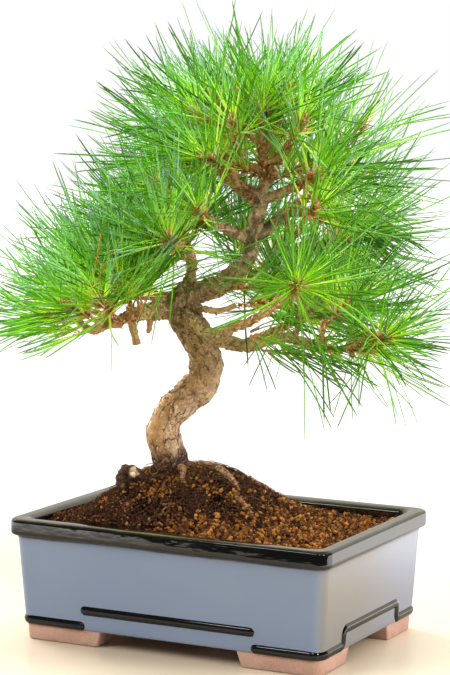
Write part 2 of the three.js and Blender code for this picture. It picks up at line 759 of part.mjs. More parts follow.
// A pair of needles, as this pine bears them, grown from the two halves of one facet. Low pairs stand
// out sideways and high ones lean forwards, and all bend up a little. Needles may hang down only on
// shoots that face the front. A pair that would touch another solid is drawn again, and gets
// shorter the longer that takes.
function needlePair(spray, ring, row, corner, draw) {
  const [lowLeft, lowRight, highRight, highLeft] = corner;
  const bases = [
    [lowLeft, lowRight, highRight],
    [lowLeft, highRight, highLeft],
  ];
  const middle = lowLeft.clone().add(highRight).multiplyScalar(0.5);
  const foot = middle.clone().sub(spray.start);
  const outward = foot.addScaledVector(spray.direction, -foot.dot(spray.direction)).normalize();
  const sideways = new THREE.Vector3().crossVectors(spray.direction, outward);
  const share = row / (SHOOT_RINGS.length - 3);
  const facing = Math.max(0, spray.direction.dot(turned(0, -1, 0)));
  const lowest = -THREE.MathUtils.lerp(DROOP.least, DROOP.most, facing);
  for (let tried = 0; tried < TRIES; tried++) {
    const patience = tried / TRIES;
    const loose = 0.3 + 1.1 * patience;
    const turn = (draw() - 0.5) * loose;
    const lean = THREE.MathUtils.lerp(LEAN.first, LEAN.last, share) + (draw() - 0.5) * loose * 0.7;
    const full = THREE.MathUtils.lerp(NEEDLE_LENGTH.least, NEEDLE_LENGTH.most, draw());
    const length = full * (1 - 0.6 * patience);
    const spread = THREE.MathUtils.lerp(TWIN_SPREAD.least, TWIN_SPREAD.most, draw());
    const out = outward.clone().multiplyScalar(Math.cos(turn)).addScaledVector(sideways, Math.sin(turn));
    const ahead = spray.direction
      .clone()
      .multiplyScalar(Math.cos(lean))
      .addScaledVector(out, Math.sin(lean))
      .addScaledVector(UP, LIFT)
      .normalize();
    ahead.setZ(Math.max(ahead.z, lowest)).normalize();
    if (ahead.dot(outward) < 0.25) continue;
    const twins = bases.map((base, index) => {
      const way = ahead.clone().addScaledVector(sideways, index === 0 ? spread : -spread).normalize();
      const a = base.reduce((sum, point) => sum.add(point), new THREE.Vector3()).divideScalar(3);
      const b = a.clone().addScaledVector(way, length);
      return { base, way, a, b, ra: NEEDLE_RADIUS, rb: 0, owner: spray.name };
    });
    const free = twins.every((twin) => {
      const past = { ...twin, a: twin.a.clone().addScaledVector(twin.way, 5) };
      return inTheWay.every((thing) => {
        if (thing.owner !== spray.name) return clearance(twin, thing) > NEEDLE_GAP;
        return !thing.way || clearance(past, { ...thing, a: thing.a.clone().addScaledVector(thing.way, 5) }) > 0.2;
      });
    });
    if (free) {
      inTheWay.push(...twins);
      return twins;
    }
  }
  return null;
}

// A spray is one skin: a slim shoot that ends in a bud, with facets that are drawn out into needles.
function spraySolid(spray, index) {
  const draw = draws(7919 + 613 * index);
  const [side, other] = crossAxes(spray.direction);
  const rings = SHOOT_RINGS.map(([height, radius], ring) => {
    const turn = ring * ROW_TWIST;
    const [x, y] = [Math.cos(turn), Math.sin(turn)];
    const turnedSide = side.clone().multiplyScalar(x).addScaledVector(other, y);
    const turnedOther = other.clone().multiplyScalar(x).addScaledVector(side, -y);
    const centre = spray.start.clone().addScaledVector(spray.direction, ROOT_GAP + height);
    return ringAround(centre, turnedSide, turnedOther, SHOOT_SIDES, () => radius);
  });
  const triangles = [];
  for (let i = 1; i + 1 < SHOOT_SIDES; i++) triangles.push([rings[0][0], rings[0][i + 1], rings[0][i]]);
  for (let ring = 0; ring + 1 < rings.length; ring++) {
    const row = ring - 1;
    const bearing = row < 0 ? [] : [PAIR_SIDES[(2 * row) % SHOOT_SIDES], PAIR_SIDES[(2 * row + 1) % SHOOT_SIDES]];
    for (let i = 0; i < SHOOT_SIDES; i++) {
      const next = (i + 1) % SHOOT_SIDES;
      const corner = [rings[ring][i], rings[ring][next], rings[ring + 1][next], rings[ring + 1][i]];
      const twins = bearing.includes(i) ? needlePair(spray, ring, row, corner, draw) : null;
      if (twins) {
        for (const { base, b } of twins) {
          for (let edge = 0; edge < 3; edge++) triangles.push([base[edge], base[(edge + 1) % 3], b]);
        }
      } else {
        triangles.push([corner[0], corner[1], corner[2]], [corner[0], corner[2], corner[3]]);
      }
    }
  }
  const tip = spray.start.clone().addScaledVector(spray.direction, ROOT_GAP + SHOOT_TIP);
  const top = rings[rings.length - 1];
  top.forEach((point, i) => triangles.push([point, top[(i + 1) % SHOOT_SIDES], tip]));
  return solidFrom(
    triangles.flat().flatMap((point) => point.toArray()),
    [...Array(triangles.length * 3).keys()],
  );
}

// Finishes
const finish = (color, roughness) => new THREE.MeshStandardMaterial({ color, roughness, metalness: 0 });
const FINISHES = {
  glaze: finish(0x14161a, 0.12),
  mesh: finish(0x1d1f1e, 0.7),
  soil: finish(0x6b4526, 0.95),
  bark: finish(0x9a7b58, 0.9),
  needles: finish(0x3f8a1c, 0.5),
};

const model = new THREE.Group();
function add(name, solid, material) {
  const mesh = new THREE.Mesh(geometryOf(solid), material);
  mesh.name = name;
  model.add(mesh);
}

add("pot", pot(), FINISHES.glaze);
add("drain_screen_left", screen(-1), FINISHES.mesh);
add("drain_screen_right", screen(1), FINISHES.mesh);
add("soil", soil(rootRoom(), [-1, 1]), FINISHES.soil);
add("tree", tree(), FINISHES.bark);
sprays.forEach((spray, index) => add(spray.name, spraySolid(spray, index), FINISHES.needles));

// The origin goes under the middle of the whole.
const middle = new THREE.Box3().setFromObject(model).getCenter(new THREE.Vector3());
model.position.set(-middle.x, -middle.y, 0);

export default model;
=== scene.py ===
"""A Japanese black pine bonsai in its glazed pot: the finished look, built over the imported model.

Everything is in metres, +Z up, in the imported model's frame. The tables are in millimetres, measured from
the pot's upright centre line and the ground, and the tree's rows are [across, back, up] in its own axes.
"""

import sys

import logging
import math
from collections.abc import Callable, Iterable, Iterator, Sequence
from contextlib import contextmanager
from dataclasses import dataclass, field
from enum import Enum
from functools import partial
from typing import ClassVar

import bpy
import numpy as np
from mathutils import Matrix, Vector, noise


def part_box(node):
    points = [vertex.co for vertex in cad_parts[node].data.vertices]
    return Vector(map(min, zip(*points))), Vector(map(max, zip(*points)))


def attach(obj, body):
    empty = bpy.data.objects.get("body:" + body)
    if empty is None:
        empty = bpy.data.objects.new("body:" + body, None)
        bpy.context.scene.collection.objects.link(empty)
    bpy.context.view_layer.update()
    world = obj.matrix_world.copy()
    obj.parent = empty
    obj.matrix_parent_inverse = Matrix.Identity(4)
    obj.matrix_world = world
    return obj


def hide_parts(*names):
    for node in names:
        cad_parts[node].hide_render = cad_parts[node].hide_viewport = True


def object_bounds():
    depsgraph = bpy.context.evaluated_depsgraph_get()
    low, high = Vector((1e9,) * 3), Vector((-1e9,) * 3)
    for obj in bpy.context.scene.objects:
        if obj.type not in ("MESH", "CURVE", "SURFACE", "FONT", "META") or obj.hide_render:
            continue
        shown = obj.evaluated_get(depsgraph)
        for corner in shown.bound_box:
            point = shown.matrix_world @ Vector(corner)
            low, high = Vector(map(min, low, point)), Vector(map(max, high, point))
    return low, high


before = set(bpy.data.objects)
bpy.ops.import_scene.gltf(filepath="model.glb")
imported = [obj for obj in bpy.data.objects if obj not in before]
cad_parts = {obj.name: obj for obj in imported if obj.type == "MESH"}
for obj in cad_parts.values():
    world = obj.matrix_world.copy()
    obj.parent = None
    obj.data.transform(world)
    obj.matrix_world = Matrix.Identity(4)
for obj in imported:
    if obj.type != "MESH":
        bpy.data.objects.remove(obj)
CAD_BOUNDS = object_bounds()
LOG = logging.getLogger("bonsai")

Array = np.ndarray
Row = tuple[float, ...]
Colour = tuple[float, float, float]
Piece = bpy.types.Object
Socket = bpy.types.NodeSocket

MM = 0.001
GOLDEN = math.radians(137.508)
UP = np.array([0.0, 0.0, 1.0])


def pot_centre() -> Array:
    """Returns the point on the ground under the middle of the pot."""
    low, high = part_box("pot")
    return np.array([(low.x + high.x) / 2, (low.y + high.y) / 2, 0.0])


CENTRE = pot_centre()
TREE_TURN = math.radians(27)
# The side of the trunk that faces the front, which is painted in shade, and the sides that are painted lit.
SHADED_FRONT: Row = (0.25, -0.96, 0.1)
LIT_RIGHT: Row = (0.97, 0.05, 0.22)
LIT_LEFT: Row = (-0.86, -0.49, 0.12)
# The knot where the low branches leave, and the cut root that shows above the soil with its sawn face.
KNOT: Row = (-27, 12, 226)
KNOB: Row = (-62, -1, 112)
KNOB_FACE: Row = (-58, -6, 114)

# Each limb is a row of [across, back, up, radius].
TRUNK: tuple[Row, ...] = (
    (-31, 17, 76, 13), (-31, 16, 96, 15), (-33, 16, 112, 13), (-37, 14, 125, 12), (-40, 11, 139, 11.6),
    (-35, 11, 151, 11.6), (-24, 14, 162, 11.6), (-13, 18, 172, 11.6), (-11, 20, 184, 12),
    (-13, 20, 195, 12), (-18, 17, 206, 11.4), (-24, 14, 216, 11), (-28, 12, 227, 10.5), (-21, 14, 235, 8),
)
BRANCHES: dict[str, tuple[Row, ...]] = {
    "leader": (
        (-27, 13, 230, 8), (-18, 15, 235, 7.4), (-4, 16, 240, 6.6), (10, 18, 249, 6), (19, 22, 260, 5.8),
        (21, 24, 274, 5.6), (25, 22, 288, 5), (28, 18, 300, 4.4), (29, 14, 313, 3.4), (28, 9, 326, 2.8),
        (27, 5, 338, 2.3),
    ),
    "left_low": (
        (-28, 12, 224, 7.2), (-42, 8, 223, 6.2), (-53, 2, 222, 5.2), (-65, -4, 219, 4.4),
        (-78, -8, 215, 3.6), (-86, -10, 211, 2.9), (-93, -12, 214, 2.3),
    ),
    "left_back": ((-29, 15, 227, 5), (-43, 36, 229, 4), (-57, 54, 229, 3.2), (-72, 68, 226, 2.4)),
    "left_mid": (
        (20, 23, 271, 4.6), (8, 18, 276, 3.8), (-4, 11, 282, 3.4), (-14, 5, 289, 3), (-22, 0, 296, 2.4),
    ),
    "knot_up": (
        (-25, 14, 232, 4.6), (-21, 16, 248, 3.8), (-21, 16, 259, 3.2), (-27, 12, 269, 2.7),
        (-35, 6, 274, 2.3),
    ),
    "mid_back": ((-21, 17, 254, 3.2), (-25, 38, 268, 2.8), (-31, 56, 278, 2.3)),
    "upper_left": ((28, 18, 302, 4), (15, 14, 307, 3.4), (4, 10, 313, 3), (-3, 7, 320, 2.4)),
    "upper_left_back": ((26, 21, 294, 3.6), (13, 40, 303, 3), (0, 54, 314, 2.6), (-11, 64, 327, 2.2)),
    "right_up": ((28, 19, 298, 4), (38, 13, 302, 3.4), (49, 6, 308, 3), (60, 0, 314, 2.4)),
    "right_up_back": ((29, 15, 309, 3.2), (37, 30, 321, 2.8), (46, 42, 332, 2.5), (53, 50, 344, 2.2)),
    "right_mid": (
        (20, 24, 270, 5), (33, 28, 279, 4.4), (43, 30, 288, 4), (54, 33, 289, 3.4), (67, 34, 285, 2.9),
        (79, 32, 279, 2.4),
    ),
    "right_mid_back": ((43, 30, 288, 3.4), (55, 50, 296, 3), (70, 68, 301, 2.5), (85, 80, 302, 2.2)),
    "right_a": (
        (-26, 9, 221, 5), (-19, 1, 215, 4.6), (-9, -6, 209, 4.4), (0, -14, 210, 4), (7, -22, 215, 3.5),
        (17, -32, 219, 2.9), (28, -40, 226, 2.6), (39, -44, 234, 2.3),
    ),
    "right_b": (
        (-13, 18, 200, 5.4), (2, 13, 201, 4.6), (16, 8, 199, 4.6), (28, 2, 202, 4.2), (43, -4, 206, 3.6),
        (57, -8, 203, 3.3), (68, -12, 200, 2.9), (80, -17, 199, 2.4),
    ),
    "right_low_back": ((14, 9, 199, 3.8), (28, 28, 203, 3.2), (44, 46, 208, 2.8), (60, 60, 213, 2.3)),
    "knot_back": ((-24, 15, 230, 4.6), (-8, 36, 231, 3.8), (10, 56, 237, 3), (26, 72, 245, 2.4)),
    "pruned_stub": ((-62, -5, 222, 3.2), (-60, -10, 214, 2.9), (-58, -13, 207, 2.6), (-57, -14, 202, 3)),
    "knot_stub": ((-48, 4, 221, 2.6), (-49, 2, 213, 1.9), (-50, 1, 208, 1.5)),
    "side_shoot": ((-24, 10, 225, 3.4), (-13, 2, 225, 2.4), (-2, -3, 224, 2.2), (10, -5, 228, 1.8)),
}
ROOTS: dict[str, tuple[Row, ...]] = {
    "root_right": (
        (-27, 12, 112, 5.6), (-8, 4, 116, 3.2), (1, -4, 114, 2.7), (9, -13, 108, 2.2), (14, -19, 98, 1.8),
    ),
    "root_front": ((-30, 12, 110, 5), (-26, 0, 115, 2.5), (-26, -10, 111, 2.0), (-27, -17, 100, 1.6)),
    "root_left": ((-37, 12, 106, 5.6), (-50, 6, 102, 4), (-62, 0, 112, 6.2), (-69, -3, 102, 4.5)),
    "root_back": ((-28, 20, 108, 5.6), (-20, 36, 102, 3.7), (-14, 52, 88, 2.4)),
    "root_far": (
        (11, -16, 103, 1.9), (10, -24, 99, 1.8), (12, -29, 100, 1.7), (16, -33, 97, 1.5),
        (21, -41, 91.5, 1.4), (24, -46, 82, 1.1),
    ),
}

# The sprays of needles, by the limb that their twigs leave. A row is how far along that limb, the
# middle of the shoot [across, back, up], and its heading (0 right, 90 back) and rise in degrees.
SPRAYS: dict[str, tuple[Row, ...]] = {
    "leader": (
        (1.0, 27, 2, 358, -90, 84), (0.82, 59, 10, 363, 20, 60), (0.88, 51, -12, 347, -50, 52),
        (0.84, 9, -8, 346, 240, 64), (0.97, 14, 8, 365, 110, 72), (0.93, 43, 10, 368, 40, 68),
    ),
    "upper_left": (
        (0.9, -13, 0, 355, 172, 22), (0.75, -5, 14, 363, 150, 50), (0.5, -7, -22, 327, 225, 20),
        (1.0, -17, 6, 327, 180, 17),
    ),
    "left_mid": (
        (1.0, -38, -6, 306, 190, 25), (0.42, -14, -18, 291, 245, 25), (0.62, -29, 20, 294, 150, 25),
    ),
    "knot_up": (
        (0.85, -43, -10, 270, 195, 15), (0.6, -33, -19, 271, 250, 30), (1.0, -48, 22, 274, 155, 20),
    ),
    "mid_back": ((1.0, -40, 70, 290, 120, 38), (0.7, -16, 66, 280, 70, 35)),
    "left_low": (
        (0.78, -83, -6, 243, 155, 55), (0.42, -57, -14, 242, 130, 75), (0.55, -67, -22, 238, 205, 62),
        (1.0, -111, -16, 220, 184, 8), (0.88, -95, -24, 226, 200, 32), (0.66, -77, -30, 229, 225, 42),
        (0.5, -74, 16, 240, 150, 45), (0.82, -98, 4, 228, 168, 25),
    ),
    "left_back": ((1.0, -86, 76, 233, 145, 25), (0.78, -63, 66, 248, 110, 60)),
    "upper_left_back": (
        (1.0, -21, 77, 341, 130, 45), (0.68, 2, 70, 326, 85, 42), (0.8, -30, 48, 320, 178, 14),
        (0.36, 4, 40, 334, 120, 72),
    ),
    "right_up_back": (
        (1.0, 60, 58, 358, 35, 62), (0.66, 36, 56, 338, 105, 40), (0.36, 32, 34, 358, 100, 78),
    ),
    "right_up": ((1.0, 78, 0, 323, 5, 28), (0.66, 60, -10, 315, -40, 35), (0.92, 89, 10, 343, 20, 48)),
    "right_mid": (
        (0.8, 78, 20, 270, -15, 14), (0.6, 74, 16, 302, -30, 32), (0.4, 60, -16, 292, -60, 35),
        (1.0, 97, 34, 284, 5, 15),
    ),
    "right_mid_back": ((1.0, 97, 91, 311, 40, 28), (0.7, 66, 80, 312, 95, 42), (0.5, 88, 56, 306, 8, 28)),
    "right_a": ((1.0, 49, -62, 246, -86, 14),),
    "right_b": (
        (1.0, 105, -30, 209, -58, 6), (0.97, 94, -10, 199, -10, 2), (0.86, 82, -10, 227, 20, 40),
        (0.62, 58, 4, 224, 50, 52),
    ),
    "right_low_back": ((1.0, 74, 72, 223, 45, 30), (0.7, 44, 64, 226, 105, 42)),
    "knot_back": ((1.0, 37, 88, 257, 55, 36), (0.72, 16, 70, 262, 110, 56)),
}
# Sprays, by number, that differ in fullness: their share of the pairs, and of the needles' length.
FULLNESS: dict[int, tuple[float, float]] = {
    2: (0.35, 0.8), 3: (0.55, 0.9), 4: (0.55, 0.9), 5: (0.55, 0.85), 6: (0.55, 0.9), 7: (0.8, 1.0),
    8: (0.7, 0.9), 9: (0.6, 0.9), 10: (0.8, 1.12), 11: (0.35, 0.8), 12: (0.65, 0.9), 13: (0.7, 0.85),
    14: (1.1, 1.05), 15: (1.1, 1.0), 20: (1.5, 0.9), 22: (0.65, 0.9), 23: (0.8, 0.95), 24: (0.85, 0.95),
    26: (0.7, 0.9), 29: (0.7, 0.9), 31: (0.2, 0.75), 33: (0.2, 0.8), 34: (0.6, 0.85), 35: (0.6, 0.85),
    36: (0.3, 1.15), 38: (0.18, 1.0), 39: (1.2, 1.25), 40: (0.5, 0.85), 42: (0.45, 0.8), 43: (0.15, 1.0),
    44: (0.5, 0.9), 45: (0.12, 0.7), 46: (1.1, 1.0), 47: (0.8, 0.9), 48: (0.75, 0.9), 49: (1.2, 1.05),
    50: (1.1, 0.95), 52: (1.2, 1.0), 54: (1.1, 1.0),
}
# Branches with many limp needles.
LOOSE_BRANCHES = ("right_a", "right_b")

# Where the crown is open to the front: the trunk and the leader as [up, across, back], and a branch as
# [across, up, back].
TRUNK_SEEN: tuple[Row, ...] = (
    (112, -33, 16), (139, -40, 11), (162, -24, 14), (184, -10, 20), (206, -17, 17), (222, -26, 12),
)
LEADER_SEEN: tuple[Row, ...] = ((262, 20, 22), (288, 25, 22), (313, 29, 14), (338, 27, 5), (348, 27, 4))
BRANCH_SEEN: tuple[Row, ...] = ((30, 299, 18), (38, 302, 13), (49, 308, 6), (62, 315, 0))

# Loose tufts that leave the limbs: the limb, how far along it, heading and rise in degrees, and pairs.
TUFTS: tuple[tuple[str, float, float, float, int], ...] = (
    ("right_b", 0.3, -30, -10, 5), ("right_b", 0.46, -16, -22, 7), ("right_b", 0.6, -30, -20, 9),
    ("right_a", 0.62, -20, -25, 6), ("right_mid", 0.9, -20, -16, 18), ("upper_left", 0.98, 178, 26, 32),
    ("left_low", 0.34, 95, 62, 32), ("knot_back", 0.5, -30, 10, 32), ("right_b", 0.8, -60, 0, 10),
    ("left_low", 0.94, 192, -4, 8), ("left_low", 0.78, 212, -6, 5), ("leader", 0.76, 90, 35, 40),
    ("leader", 0.8, 185, 24, 36), ("leader", 0.78, -5, 22, 36), ("leader", 0.9, 60, 82, 24),
    ("side_shoot", 0.95, -5, 8, 14), ("right_mid", 0.8, -14, -8, 16), ("right_mid", 0.98, 4, 4, 12),
    ("right_low_back", 0.95, 10, 8, 24), ("right_low_back", 0.8, -20, 14, 20),
)


def placed(rows: Sequence[Row] | Array) -> Array:
    """Moves points measured from the pot's centre line into the model's frame.

    Args:
        rows: Points in millimetres, one a row.

    Returns:
        The points in metres.
    """
    return np.asarray(rows, float).reshape(-1, 3) * MM + CENTRE


def turned(rows: Sequence[Row] | Array) -> Array:
    """Turns points or directions from the tree's own axes into the pot's.

    Args:
        rows: Points or directions, one a row.

    Returns:
        The same, along the pot's X and Y.
    """
    points = np.asarray(rows, float).reshape(-1, 3)
    cos, sin = math.cos(TREE_TURN), math.sin(TREE_TURN)
    return points @ np.array([[cos, sin, 0.0], [-sin, cos, 0.0], [0.0, 0.0, 1.0]])


def spot(row: Row) -> Array:
    """Returns the point of the tree at [across, back, up]."""
    return placed(turned([row]))[0]


def heading(azimuth: float, rise: float) -> Array:
    """Returns the unit direction of a heading and a rise, in degrees."""
    turn, climb = math.radians(azimuth), math.radians(rise)
    flat = math.cos(climb)
    return turned([(math.cos(turn) * flat, math.sin(turn) * flat, math.sin(climb))])[0]


def unit(vectors: Array) -> Array:
    """Returns the vectors at length one."""
    return vectors / np.maximum(np.linalg.norm(vectors, axis=-1, keepdims=True), 1e-12)


def mixed(low: float | Array, high: float | Array, share: float | Array) -> float | Array:
    """Returns the value a share of the way from low to high."""
    return low + (high - low) * share


def eased(low: float, high: float, value: Array) -> Array:
    """Returns 0 below low, 1 above high and a smooth climb between them."""
    share = np.clip((value - low) / (high - low), 0.0, 1.0)
    return share * share * (3.0 - 2.0 * share)


def hill(value: Array, top: float, reach: float) -> Array:
    """Returns a smooth hill, 1 at its top and nearly 0 two reaches away from it."""
    return np.exp(-(((value - top) / reach) ** 2))


def lumpy(points: Array, scale: float = 1.0) -> Array:
    """Returns a smooth noise from -1 to 1, one number a point."""
    return np.array([noise.noise(Vector(point) * scale) for point in points])


def rolling(x: Array, y: Array, scale: float, seed: float) -> Array:
    """Returns a smooth noise from -1 to 1 over the plane."""
    return lumpy(np.stack([x / scale, y / scale, np.full(len(x), seed)], axis=1))


def cross_axes(ways: Array) -> tuple[Array, Array]:
    """Returns two directions for each way, at right angles to it and to each other."""
    near = np.where(np.abs(ways[:, 2:3]) < 0.9, UP, np.array([1.0, 0.0, 0.0]))
    side = unit(near - ways * np.sum(near * ways, axis=1, keepdims=True))
    return side, np.cross(ways, side)


class Route:
    """A smooth line through points, with a radius at every share of its length."""

    def __init__(self, points: Array, radii: Sequence[float]) -> None:
        """Keeps the points, and one more past each end that the ends' bends are worked out from."""
        self.radii = np.asarray(radii, float)
        self.knots = np.vstack([2 * points[0] - points[1], points, 2 * points[-1] - points[-2]])

    @classmethod
    def limb(cls, rows: Sequence[Row]) -> "Route":
        """Returns a limb's line, in metres, from its rows of [across, back, up, radius]."""
        table = np.asarray(rows, float)
        return cls(placed(turned(table[:, :3])), table[:, 3] * MM)

    def at(self, shares: Array | float) -> Array:
        """Finds points of the line.

        Args:
            shares: How far along, from 0 to 1.

        Returns:
            One point a row.
        """
        place = np.clip(np.atleast_1d(shares), 0.0, 1.0) * (len(self.radii) - 1)
        index = np.minimum(place.astype(int), len(self.radii) - 2)
        way = (place - index)[:, None]
        a, b, c, d = (self.knots[index + step] for step in range(4))
        before, here, after = (
            np.sqrt(np.linalg.norm(q - p, axis=1, keepdims=True)) for p, q in ((a, b), (b, c), (c, d))
        )
        leave = ((b - a) / before - (c - a) / (before + here) + (c - b) / here) * here
        arrive = ((c - b) / here - (d - b) / (here + after) + (d - c) / after) * here
        bend = -3 * b + 3 * c - 2 * leave - arrive
        return b + leave * way + bend * way**2 + (2 * b - 2 * c + leave + arrive) * way**3

    def radius(self, shares: Array | float) -> Array:
        """Returns the line's radius at the shares."""
        place = np.clip(np.atleast_1d(shares), 0.0, 1.0) * (len(self.radii) - 1)
        return np.interp(place, np.arange(len(self.radii)), self.radii)

    def even(self, step: float) -> Array:
        """Returns shares that lie about one step apart along the line."""
        fine = np.linspace(0, 1, 12 * len(self.radii))
        along = np.concatenate([[0], np.cumsum(np.linalg.norm(np.diff(self.at(fine), axis=0), axis=1))])
        return np.interp(np.linspace(0, along[-1], max(4, int(along[-1] / step) + 2)), along, fine)


class Bench:
    """The hand work that every piece shares: selecting, editing, modifiers and numbers kept at points."""

    @staticmethod
    def take(*pieces: Piece) -> None:
        """Selects only the pieces, with the first one active."""
        bpy.ops.object.select_all(action="DESELECT")
        for piece in pieces:
            piece.select_set(True)
        bpy.context.view_layer.objects.active = pieces[0]

    @staticmethod
    def named(name: str) -> Piece:
        """Names the piece that was just made and puts its place, turn and size into its mesh."""
        piece = bpy.context.object
        piece.name = piece.data.name = name
        Bench.take(piece)
        bpy.ops.object.transform_apply(location=True, rotation=True, scale=True)
        return piece

    @staticmethod
    def linked(name: str, data: bpy.types.ID) -> Piece:
        """Puts an object that holds the data into the scene."""
        made = bpy.data.objects.new(name, data)
        bpy.context.collection.objects.link(made)
        return made

    @staticmethod
    @contextmanager
    def editing(piece: Piece, kind: str = "FACE", everything: bool = False) -> Iterator[None]:
        """Opens the piece in edit mode and closes it after.

        Args:
            piece: The piece to edit.
            kind: What is picked: VERT, EDGE or FACE.
            everything: Whether all of it is picked.

        Yields:
            Nothing.
        """
        Bench.take(piece)
        bpy.ops.object.mode_set(mode="EDIT")
        bpy.ops.mesh.select_mode(type=kind)
        if everything:
            bpy.ops.mesh.select_all(action="SELECT")
        yield
        bpy.ops.object.mode_set(mode="OBJECT")

    @staticmethod
    def pick(piece: Piece, test: Callable[[Vector, Vector], bool], kind: str = "FACE") -> None:
        """Selects the faces or the edges that pass a test.

        Args:
            piece: The piece, in object mode.
            test: Takes a face's middle and normal, or an edge's middle and direction.
            kind: EDGE or FACE.
        """
        mesh = piece.data
        for group in (mesh.vertices, mesh.edges, mesh.polygons):
            group.foreach_set("select", [False] * len(group))
        if kind == "FACE":
            for face in mesh.polygons:
                face.select = test(face.center, face.normal)
            return
        for edge in mesh.edges:
            one, two = (mesh.vertices[i].co for i in edge.vertices)
            edge.select = test((one + two) / 2, (one - two).normalized())

    @staticmethod
    def modify(piece: Piece, kind: str, **settings: object) -> None:
        """Adds a modifier with its settings and applies it."""
        Bench.take(piece)
        modifier = piece.modifiers.new(kind.title(), kind)
        for name, value in settings.items():
            setattr(modifier, name, value)
        bpy.ops.object.modifier_apply(modifier=modifier.name)

    @staticmethod
    def smooth(piece: Piece, degrees: float | None = None) -> None:
        """Shades the piece smooth, all over or only below an angle."""
        Bench.take(piece)
        if degrees is None:
            bpy.ops.object.shade_smooth()
        else:
            bpy.ops.object.shade_smooth_by_angle(angle=math.radians(degrees))

    @staticmethod
    def outward(piece: Piece) -> None:
        """Merges doubled points and turns every face outwards."""
        with Bench.editing(piece, "VERT", everything=True):
            bpy.ops.mesh.remove_doubles(threshold=1e-6)
            bpy.ops.mesh.normals_make_consistent(inside=False)

    @staticmethod
    def joined(name: str, *pieces: Piece) -> Piece:
        """Makes one piece of several."""
        Bench.take(*pieces)
        bpy.ops.object.join()
        return Bench.named(name)

    @staticmethod
    def rods(name: str, lines: Iterable[tuple[Array, Array]], steps: int) -> Piece:
        """Runs a rod of changing girth along every line.

        Args:
            name: The piece's name.
            lines: Each line's points in metres and its radii in millimetres.
            steps: How finely a rod is rounded.

        Returns:
            The rods as one piece.
        """
        curve = bpy.data.curves.new(name, "CURVE")
        curve.dimensions = "3D"
        curve.bevel_depth = MM
        curve.bevel_resolution = steps
        curve.use_fill_caps = True
        for points, girth in lines:
            spline = curve.splines.new("POLY")
            spline.points.add(len(points) - 1)
            spline.points.foreach_set("co", np.hstack([points, np.ones((len(points), 1))]).reshape(-1))
            spline.points.foreach_set("radius", girth)
        piece = Bench.linked(name, curve)
        Bench.take(piece)
        bpy.ops.object.convert(target="MESH")
        return piece

    @staticmethod
    def read(piece: Piece) -> tuple[Array, Array]:
        """Returns a piece's points and their normals, one a row."""
        mesh = piece.data
        points, normals = np.empty((2, len(mesh.vertices), 3))
        mesh.vertices.foreach_get("co", points.reshape(-1))
        mesh.vertex_normals.foreach_get("vector", normals.reshape(-1))
        return points, normals

    @staticmethod
    def keep(piece: Piece, **values: Array) -> None:
        """Keeps numbers at a piece's points, by name."""
        for name, value in values.items():
            piece.data.attributes.new(name, "FLOAT", "POINT").data.foreach_set("value", value)

    @staticmethod
    def kept(piece: Piece, name: str) -> Array:
        """Returns the numbers that a piece keeps at its points under a name."""
        values = np.empty(len(piece.data.vertices))
        piece.data.attributes[name].data.foreach_get("value", values)
        return values


@dataclass
class Pattern:
    """A small shape that is modelled once and then copied many times into one mesh."""

    points: Array
    faces: list[tuple[int, ...]]

    @classmethod
    def of(cls, piece: Piece) -> "Pattern":
        """Returns a modelled piece as a pattern and clears the piece away."""
        mesh = piece.data
        points = Bench.read(piece)[0]
        faces = [tuple(face.vertices) for face in mesh.polygons]
        bpy.data.objects.remove(piece)
        bpy.data.meshes.remove(mesh)
        return cls(points, faces)

    @classmethod
    def drawn_up(cls, rod: Piece, steps: Iterable[tuple[float, float]]) -> "Pattern":
        """Draws the top of a short rod up in steps.

        Args:
            rod: The rod, with its foot at z = 0.
            steps: The height and the girth that each step ends at. The rod's own girth is 1.

        Returns:
            The pattern.
        """
        below = 1.0
        for height, girth in steps:
            top = max(vertex.co.z for vertex in rod.data.vertices)
            Bench.pick(rod, lambda centre, normal, top=top: centre.z > top - 1e-4)
            with Bench.editing(rod):
                bpy.ops.mesh.extrude_region_move(TRANSFORM_OT_translate={"value": (0, 0, height - top)})
                change = (girth / below, girth / below, 1)
                bpy.ops.transform.resize(value=change, center_override=(0, 0, height))
            below = girth
        return cls.of(rod)

    def laid(
        self, starts: Array, ways: Array, sides: Array, sizes: Array, bends: Array | float = 0.0
    ) -> Array:
        """Lays copies of a pattern that stands up from z = 0 to 1, each along its own bent line.

        Args:
            starts: Where each copy starts.
            ways: Each copy's unit direction at its start.
            sides: A direction across each copy, which the pattern's x follows.
            sizes: Each copy's width, thickness and length.
            bends: How far each copy's end is carried off the straight.

        Returns:
            Copies by points by 3.
        """
        bends = np.broadcast_to(bends, starts.shape)
        width, thickness, length = (sizes[:, index][:, None, None] for index in range(3))
        x, y, along = (self.points[:, index][None, :, None] for index in range(3))
        centre = starts[:, None] + ways[:, None] * along * length + bends[:, None] * along**2
        tangent = unit(ways[:, None] * length + 2 * bends[:, None] * along)
        across = unit(sides[:, None] - tangent * np.sum(sides[:, None] * tangent, axis=2, keepdims=True))
        return centre + across * (x * width) + np.cross(tangent, across) * (y * thickness)


